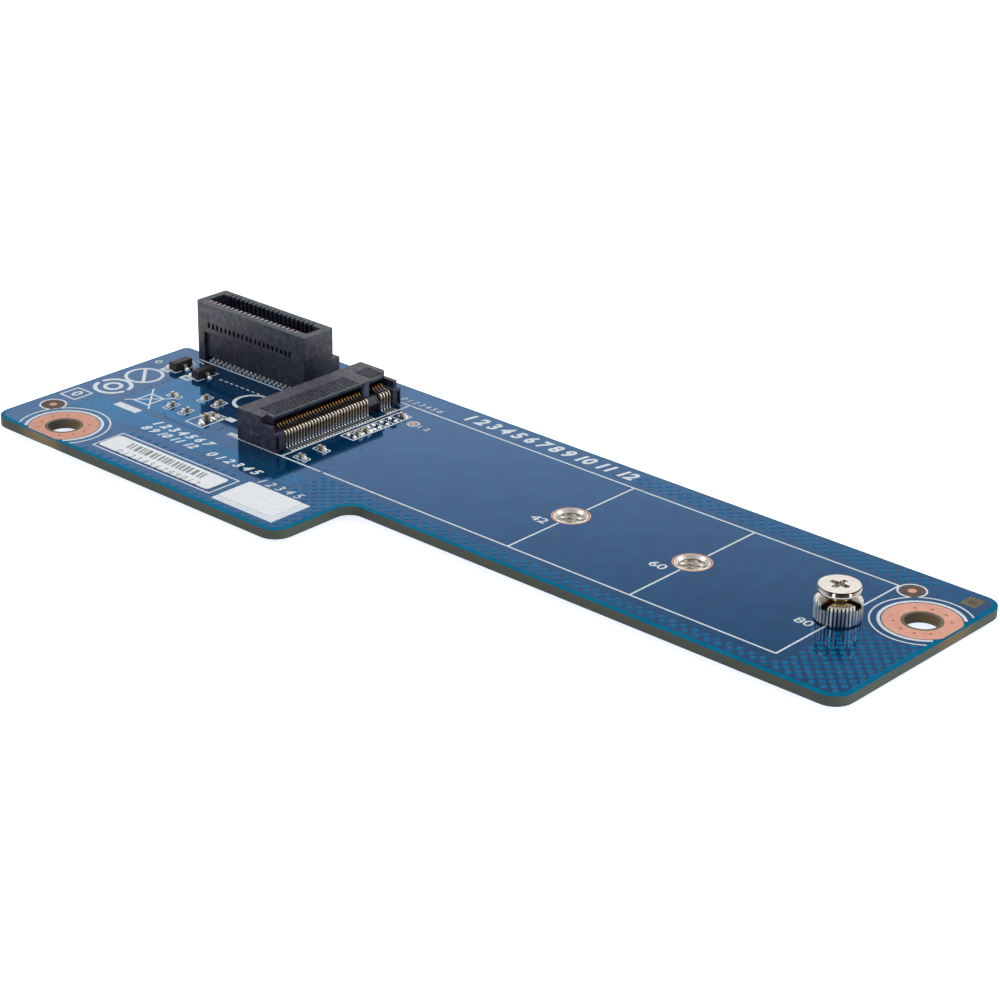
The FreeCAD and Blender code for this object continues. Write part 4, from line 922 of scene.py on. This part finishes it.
# Painted highlight: pinkish on the teeth of the edge socket's rim.
teeth = [add_node(tree, "Math", "Value", {0: held, 1: middle * MM, 2: half * MM}, operation="COMPARE")
         for held, (middle, half) in zip(spot, RIM_TEETH_HIGHLIGHT)]
teeth_highlight = add_node(tree, "Math", "Value", {0: teeth[0], 1: teeth[1]}, operation="MULTIPLY")
teeth_highlight = add_node(tree, "Math", "Value", {0: teeth_highlight, 1: teeth[2]}, operation="MULTIPLY")
tint = add_node(tree, "Mix", 2, {0: teeth_highlight, 6: tint, 7: linear("#A89294")}, data_type="RGBA")
eroded = add_node(tree, "Bump", "Normal", {"Height": grain, "Distance": 0.012 * MM, "Normal": soft_edge})
gloss = add_node(tree, "MapRange", "Result", {"Value": flow, "From Min": 0.38, "From Max": 0.62,
                                              "To Min": 0.38, "To Max": 0.68})
feed(tree, shader, {"Base Color": tint, "Roughness": matt, "IOR": 1.55, "Specular IOR Level": gloss,
                    "Normal": eroded})
# The same polymer where the mould was polished: the key rib and the marks of the ejector pins, glossier and painted
# lighter as a painted highlight.
polished_and_lit = mottled_finish("polished_polymer_painted_light", 0.6, ("#465063", "#626C80"), {"Roughness": 0.2, "IOR": 1.55})


def finish_node(name, finish):
    """Gives a solid of the frame its finish."""
    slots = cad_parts[name].material_slots
    for held in slots:
        held.material = finish
    if not slots:
        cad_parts[name].data.materials.append(finish)


finish_node("drive_socket_housing", polymer)
key_plan = rounded([(SOCKET_ORIGIN[0] + x, SOCKET_ORIGIN[1] + y, radius) for x, y, radius in KEY_CORNERS], 6)
marks = [slab(key_plan, TOP + KEY_LEVELS[0], TOP + KEY_LEVELS[1])]
for x, z, radius in PIN_MARKS:
    disc, faces = slab(circle((x, z), radius, 20), NEAR_FACE - 0.012, NEAR_FACE + 0.01)
    marks.append(([(along, depth, up) for along, up, depth in disc], faces))
add_piece("key_post_and_pin_marks", marks, polished_and_lit, smooth=True)
ribs = []
for i in range(4):
    left, low, right, high = NOSE_RIB
    x, y = SOCKET_ORIGIN[0], SOCKET_ORIGIN[1] + NOSE_RIB_PITCH * i
    rib_plan = rectangle(x + left, y + low, x + right, y + high)
    ribs.append(slab(rib_plan, TOP + NOSE_RIB_LEVELS[0], TOP + NOSE_RIB_LEVELS[1]))
add_piece("nose_ribs", ribs, polymer)

# Contacts of the drive socket: stamped copper strip, bent over the comb. The sprung tips are plated
# with gold and the legs with a thin flash of it; the tails are soldered down in a row before the socket.
CONTACT_WIDTH = 0.22
CONTACT_THICKNESS = 0.15
# The path of a contact from its tail to its tip: along from the socket's origin, and up from the board.
LOWER_CORNERS = [
    (5.05, 0.08), (4.4, 0.08), (4.02, 0.08), (4.02, 0.6), (4.02, 1.4), (4.02, 1.95), (3.9, 2.2),
    (3.6, 2.26), (3.1, 2.3), (2.65, 2.5), (2.4, 2.84), (2.2, 2.8), (2.05, 2.45),
]
LOWER_ROWS = [-9.0 + 0.5 * i for i in range(29)] + [7.5 + 0.5 * i for i in range(4)]
# The solder on a tail: its place along, its half sizes and its height.
TAIL_JOINT = (4.9, 0.42, 0.15, 0.13)
TIP, SOLDERED, LEG, ARM = range(4)
SOLDERED_PAST, SOLDERED_BELOW = 4.2, 0.55
TIP_BEFORE, ARM_BEFORE = 2.62, 3.72
# Gold plate on a sprung tip: deep orange gold in the shade of the mouth.
STRIP_GRAIN = 0.4
gold = mottled_finish("tip_gold", STRIP_GRAIN, ("#8A5824", "#A26E34"), {"Metallic": 1.0}, dulling=(0.3, 0.45))
# Thin gold flash over nickel on the legs: straw gold, painted cream on the bend as a painted highlight,
# white with solder at the foot.
strip_metal, tree, shader, place = new_finish("gold_flash")
wear = add_node(tree, "TexNoise", "Fac", {"Vector": place, "Scale": 1 / (STRIP_GRAIN * MM), "Detail": 2.0})
up = add_node(tree, "SeparateXYZ", "Z", {"Vector": place})
up = add_node(tree, "MapRange", "Result", {"Value": up, "From Min": TOP * MM, "From Max": (TOP + 2.2) * MM})
# Painted highlight: the cream stop high up lights the bend.
tint = add_node(tree, "ValToRGB", "Color", {"Fac": up},
                [(0.2, "#ECE8E1"), (0.45, "#B9A27C"), (0.75, "#AE946C"), (0.86, "#F2DFC8")])
haze = add_node(tree, "MapRange", "Result", {"Value": wear, "To Min": 0.36, "To Max": 0.5})
feed(tree, shader, {"Base Color": tint, "Roughness": haze, "Metallic": 1.0})
# The same flash on the sprung arm, between bend and tip: brown grey in the shade of the roof.
arm_metal = mottled_finish("shaded_flash", STRIP_GRAIN, ("#6A6059", "#867A71"), {"Metallic": 1.0},
                           dulling=(0.35, 0.5))
# Reflowed solder: white metal, smooth and wet-looking, with a little flux haze.
solder = mottled_finish("reflowed_solder", 0.3, ("#E6E6E4", "#FAFAF8"), {"Metallic": 0.8},
                        dulling=(0.2, 0.34), relief=0.01)
# Dull tin on stamped strip in the depth of a socket: painted dark warm grey as painted shade.
tin_in_painted_shade = mottled_finish("tin_in_painted_shade", STRIP_GRAIN, ("#7A756C", "#9A958B"), {"Metallic": 1.0}, dulling=(0.4, 0.55))


def bent_strip(path, line, finish_at):
    """A stamped strip bent along a path, with its long edges broken, as one shape for each finish."""
    half, thin, edge = CONTACT_WIDTH / 2, CONTACT_THICKNESS / 2, CONTACT_THICKNESS * 0.28
    section = [(-half + edge, -thin), (half - edge, -thin), (half, -thin + edge), (half, thin - edge),
               (half - edge, thin), (-half + edge, thin), (-half, thin - edge), (-half, -thin + edge)]
    x0, y0 = SOCKET_ORIGIN
    points = []
    for i, (x, z) in enumerate(path):
        along = (Vector(path[min(i + 1, len(path) - 1)]) - Vector(path[max(i - 1, 0)])).normalized()
        for across, out in section:
            points.append((x0 + x - along.y * out, y0 + line + across, TOP + z + along.x * out))
    count = len(section)
    faces = {finish: [] for finish in (TIP, SOLDERED, LEG, ARM)}
    for i, place in enumerate(path[:-1]):
        here, after = i * count, (i + 1) * count
        faces[finish_at(*place)] += [(here + k, here + (k + 1) % count, after + (k + 1) % count, after + k)
                                     for k in range(count)]
    faces[finish_at(*path[0])].append(list(range(count))[::-1])
    faces[finish_at(*path[-1])].append(list(range((len(path) - 1) * count, len(path) * count)))
    return [(points, held, finish) for finish, held in faces.items()]


def smooth_path(corners):
    """A path through corner points, rounded by cutting each corner twice."""
    for _ in range(2):
        cut = [corners[0]]
        for a, b in zip(corners, corners[1:]):
            cut += [(a[0] * (1 - t) + b[0] * t, a[1] * (1 - t) + b[1] * t) for t in (0.25, 0.75)]
        corners = cut + [corners[-1]]
    return corners


def contact_plating(along, up):
    """Which finish a contact has at a place on its path: tip, solder, leg or arm."""
    if along > SOLDERED_PAST or up < SOLDERED_BELOW:
        return SOLDERED
    if along < TIP_BEFORE:
        return TIP
    return ARM if along < ARM_BEFORE else LEG


def solder_joint(x, y, rx, ry, height, steps=14):
    """A rounded lump of solder on its pad."""
    points = []
    for tilt in (0.0, 0.35, 0.7, 1.05, 1.35):
        z = TOP + FOIL + height * math.sin(tilt)
        ring = [around(math.cos(tilt), i / steps) for i in range(steps)]
        points += [(x + rx * along, y + ry * across, z) for along, across in ring]
    faces = [(k * steps + i, k * steps + (i + 1) % steps, (k + 1) * steps + (i + 1) % steps, (k + 1) * steps + i)
             for k in range(4) for i in range(steps)]
    return points, faces + [list(range(4 * steps, 5 * steps))]


lower_path = smooth_path(LOWER_CORNERS)
contact_shapes = [shape for line in LOWER_ROWS for shape in bent_strip(lower_path, line, contact_plating)]
for line in LOWER_ROWS:
    tail, *size = TAIL_JOINT
    contact_shapes.append((*solder_joint(SOCKET_ORIGIN[0] + tail, SOCKET_ORIGIN[1] + line, *size), SOLDERED))
comb = add_piece("comb_contacts", contact_shapes, [gold, solder, strip_metal, arm_metal],
                 ["drive_socket_lower_contacts"], smooth=True)
# The legs are left out of mirror rays: their image on the mask would be a row of white lines.
comb.visible_glossy = False
finish_node("drive_socket_upper_contacts", tin_in_painted_shade)
finish_node("drive_socket_hold_downs", tin_in_painted_shade)

# Edge card socket: a tall trough of the same polymer, moulded with a slot for each contact and small
# windows in its front wall. The contacts are stamped strip, sprung into the trough, tinned below.
finish_node("edge_socket_housing", polymer)
# Bright tin on the contact strip: pale grey, half shiny.
strip_tin = mottled_finish("bright_tin", STRIP_GRAIN, ("#BFC3C4", "#DEE1E1"), {"Metallic": 0.35}, dulling=(0.4, 0.55))
finish_node("edge_socket_front_contacts", strip_tin)
finish_node("edge_socket_back_contacts", strip_tin)

# Transistors: black epoxy blocks moulded round a lead frame, with three tinned gull-wing leads each,
# soldered to the board.
LEAD_REACH = 1.25
LEAD_SIDE = 0.95
LEAD_JOINT_HEIGHT = 0.3
# Moulded epoxy: near black, satin, with a very fine grain.
epoxy = mottled_finish("moulded_epoxy", 0.12, ("#232322", "#333230"), {"IOR": 1.55, "Specular IOR Level": 0.3},
                       dulling=(0.4, 0.55), relief=0.006)
joints = []
for number, (x, y) in enumerate(TRANSISTOR_PLACES, 1):
    finish_node(f"transistor_{number}_block", epoxy)
    finish_node(f"transistor_{number}_leads", solder)
    joints.append(solder_joint(x + LEAD_REACH, y, 0.42, 0.42, LEAD_JOINT_HEIGHT))
    for side in (1, -1):
        joints.append(solder_joint(x - LEAD_REACH, y + side * LEAD_SIDE, 0.42, 0.4, LEAD_JOINT_HEIGHT))
add_piece("transistor_joints", joints, solder, smooth=True)

# Chip capacitors: layered ceramic, fired brown, with tinned ends, each end soldered to its pad in a
# rounded fillet. Some pads of the ladder by the socket are soldered but empty.
CAPACITORS = 12
FILLET_REACH = 0.3
FILLET_HEIGHT = 0.42
FRAMED_JOINTS = [(-39.6, -5.5, 0.5, 0.5), (-39.65, -3.65, 0.55, 0.5)]
LADDER_PADS = (-24.05, -22.95)
LADDER_PAD_ROWS = (4.75, 6.2, 7.6, 8.2, 9.1, 10.5, 12.0)
LADDER_PAD = (0.32, 0.34, 0.22)
# Fired ceramic: dull brown, very fine grained.
ceramic = mottled_finish("fired_ceramic", 0.15, ("#6C5630", "#897040"), {"IOR": 1.6}, dulling=(0.4, 0.55))
joints = []
for number in range(1, CAPACITORS + 1):
    finish_node(f"capacitor_{number}_ceramic", ceramic)
    finish_node(f"capacitor_{number}_caps", solder)
    low, high = (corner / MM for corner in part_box(f"capacitor_{number}_caps"))
    x, y = (low.x + high.x) / 2, (low.y + high.y) / 2
    half_x, half_y = (high.x - low.x) / 2, (high.y - low.y) / 2
    shift, wide = max(half_x, half_y) + 0.02, min(half_x, half_y) + 0.06
    for way in (-1, 1):
        if half_x > half_y:
            joints.append(solder_joint(x + way * shift, y, FILLET_REACH, wide, FILLET_HEIGHT))
        else:
            joints.append(solder_joint(x, y + way * shift, wide, FILLET_REACH, FILLET_HEIGHT))
joints += [solder_joint(*joint, FILLET_HEIGHT) for joint in FRAMED_JOINTS]
joints += [solder_joint(x, y, *LADDER_PAD) for y in LADDER_PAD_ROWS for x in LADDER_PADS]
add_piece("capacitor_joints", joints, solder, smooth=True)

# Labels: coated white paper, die cut and stuck to the head by hand: one with a row of plain bars and
# numbers in toner, and a stage mark left blank.
LABEL_CORNER = 0.5
LABEL_FACE = 2.3
TONER = 0.004
BARS_START, BARS_STOP = -40.6, -27.2
BAR_FOOT, BAR_HEAD, BAR_LEAN = -16.95, -15.4, 0.35
BAR_WIDTHS = (0.26, 0.32, 0.42, 0.6)
BAR_GAPS = (0.22, 0.28, 0.42)
LABEL_NUMBERS = ("0 1 2 3 4 5 6 7 8 9 0 1 2", -33.4, -18.2, 1.0, 1.05, 0.0)
LABEL_NUMBERS_FACE = 2.303
# Coated label paper: even bright white, just off matt.
paper = mottled_finish("label_paper", 0.6, ("#E9EDF2", "#F3F6FA"), {"IOR": 1.45, "Specular IOR Level": 0.2},
                       detail=4.0, dulling=(0.5, 0.65), relief=0.006)
# Toner on label paper: grey, a little greenish, broken at its edges.
toner = mottled_finish("label_toner", 0.2, ("#757D7F", "#959D9F"), {"Roughness": 0.6, "IOR": 1.5})
for name, node_name in (("serial_paper", "serial_label"), ("stage_paper", "stage_label")):
    low, high = (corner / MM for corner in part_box(node_name))
    plan = rounded([(x, y, LABEL_CORNER) for x, y in rectangle(low.x, low.y, high.x, high.y)], 5)
    add_piece(name, [slab(plan, TOP + INK, high.z)], paper, [node_name])
random.seed(4)
bars = []
x = BARS_START
while x < BARS_STOP:
    width = random.choice(BAR_WIDTHS)
    bar = [(x, BAR_FOOT), (x + width, BAR_FOOT), (x + width - BAR_LEAN, BAR_HEAD), (x - BAR_LEAN, BAR_HEAD)]
    bars.append(slab(bar, LABEL_FACE, LABEL_FACE + TONER))
    x += width + random.choice(BAR_GAPS)
points, faces = numerals(*LABEL_NUMBERS)
bars.append(([(x, y, z + LABEL_NUMBERS_FACE - TOP - INK) for x, y, z in points], faces))
add_piece("label_bars", bars, toner)

# Floor and light: a white paper sweep in a small studio, dark behind the camera, lit by soft lamps
# above and behind and by two narrow upright ones in front.
FLOOR_HALF = 4
ROOM_WAY = (0.68, -0.73, 0.0)
# Lamps: name, place, width, height and power.
LAMPS = [
    ("back_lamp", (-0.33, 0.47, 0.68), 0.45, 0.45, 2.2),
    ("left_lamp", (-0.54, -0.35, 0.58), 0.35, 0.35, 1.1),
    ("right_lamp", (0.38, 0.6, 0.55), 0.35, 0.35, 1.0),
    ("left_front_lamp", (0.13, -0.565, 0.22), 0.08, 0.36, 0.6),
    ("right_front_lamp", (0.58, 0.03, 0.22), 0.08, 0.36, 0.6),
]
floor_plan = rectangle(-FLOOR_HALF, -FLOOR_HALF, FLOOR_HALF, FLOOR_HALF)
floor_mesh = bpy.data.meshes.new("floor")
floor_mesh.from_pydata([(x, y, 0) for x, y in floor_plan], [], [(0, 1, 2, 3)])
floor = bpy.data.objects.new("floor", floor_mesh)
bpy.context.scene.collection.objects.link(floor)
# Sweep paper: matt white, lifted to plain white where it is seen, with the card's shadow left on it.
sweep, tree, shader, place = new_finish("sweep_paper")
RAYS = ("Is Camera Ray", "Is Glossy Ray", "Is Transmission Ray")
seen, mirrored, through = [add_node(tree, "LightPath", ray, {}) for ray in RAYS]
shown = add_node(tree, "Math", "Value", {0: seen, 1: mirrored}, operation="MAXIMUM")
shown = add_node(tree, "Math", "Value", {0: shown, 1: through}, operation="MAXIMUM")
lift = add_node(tree, "Math", "Value", {0: shown, 1: 0.8}, operation="MULTIPLY")
feed(tree, shader, {"Base Color": linear("#F4F4F4"), "Roughness": 0.9, "Specular IOR Level": 0.0,
                    "Emission Color": (1, 1, 1, 1), "Emission Strength": lift})
floor_mesh.materials.append(sweep)

scene = bpy.context.scene
scene.view_settings.view_transform = "Standard"
world = bpy.data.worlds.new("studio")
scene.world = world
world.use_nodes = True
tree = world.node_tree
seen, mirrored, through = [add_node(tree, "LightPath", ray, {}) for ray in RAYS]
ahead = add_node(tree, "TexCoord", "Generated", {})
height = add_node(tree, "SeparateXYZ", "Z", {"Vector": ahead})
# What the card mirrors: the bright sweep low down, a dark band above it, a pale ceiling, and the dark
# of the room on the camera's side.
sheet = add_node(tree, "MapRange", "Result", {"Value": height, "From Min": 0.378, "From Max": 0.5,
                                              "To Min": 0.92, "To Max": 0.03})
overhead = add_node(tree, "MapRange", "Result", {"Value": height, "From Min": 0.6, "From Max": 0.8, "To Max": 0.8})
sheet = add_node(tree, "Math", "Value", {0: sheet, 1: overhead}, operation="ADD")
room_side = add_node(tree, "VectorMath", "Value", {0: ahead, 1: ROOM_WAY}, operation="DOT_PRODUCT")
room = add_node(tree, "MapRange", "Result", {"Value": room_side, "From Min": 0.1, "From Max": 0.6,
                                             "To Min": 1.0, "To Max": 0.07})
sheet_and_room = add_node(tree, "Math", "Value", {0: sheet, 1: room}, operation="MULTIPLY")
mirrored = add_node(tree, "Math", "Value", {0: mirrored, 1: through}, operation="MAXIMUM")
level = add_node(tree, "Mix", 0, {0: mirrored, 2: 0.4, 3: sheet_and_room})
level = add_node(tree, "Mix", 0, {0: seen, 2: level, 3: 1.0})
feed(tree, tree.nodes["Background"], {"Color": (1, 1, 1, 1), "Strength": level})

for name, place, width, tall, power in LAMPS:
    light = bpy.data.lights.new(name, "AREA")
    light.shape = "RECTANGLE"
    light.size = width
    light.size_y = tall
    light.energy = power
    lamp = bpy.data.objects.new(name, light)
    lamp.location = place
    lamp.rotation_euler = (-Vector(place)).to_track_quat("-Z", "Y").to_euler()
    scene.collection.objects.link(lamp)

camera_data = bpy.data.cameras.new("camera")
camera_data.sensor_width = 36.0
camera_data.lens = 100.558
camera_data.clip_start = 0.01
camera = bpy.data.objects.new("camera", camera_data)
camera.location = (0.20238, -0.218808, 0.136794)
camera.rotation_euler = [math.radians(a) for a in (65.75003, -0.75919, 42.31423)]
scene.collection.objects.link(camera)
scene.camera = camera
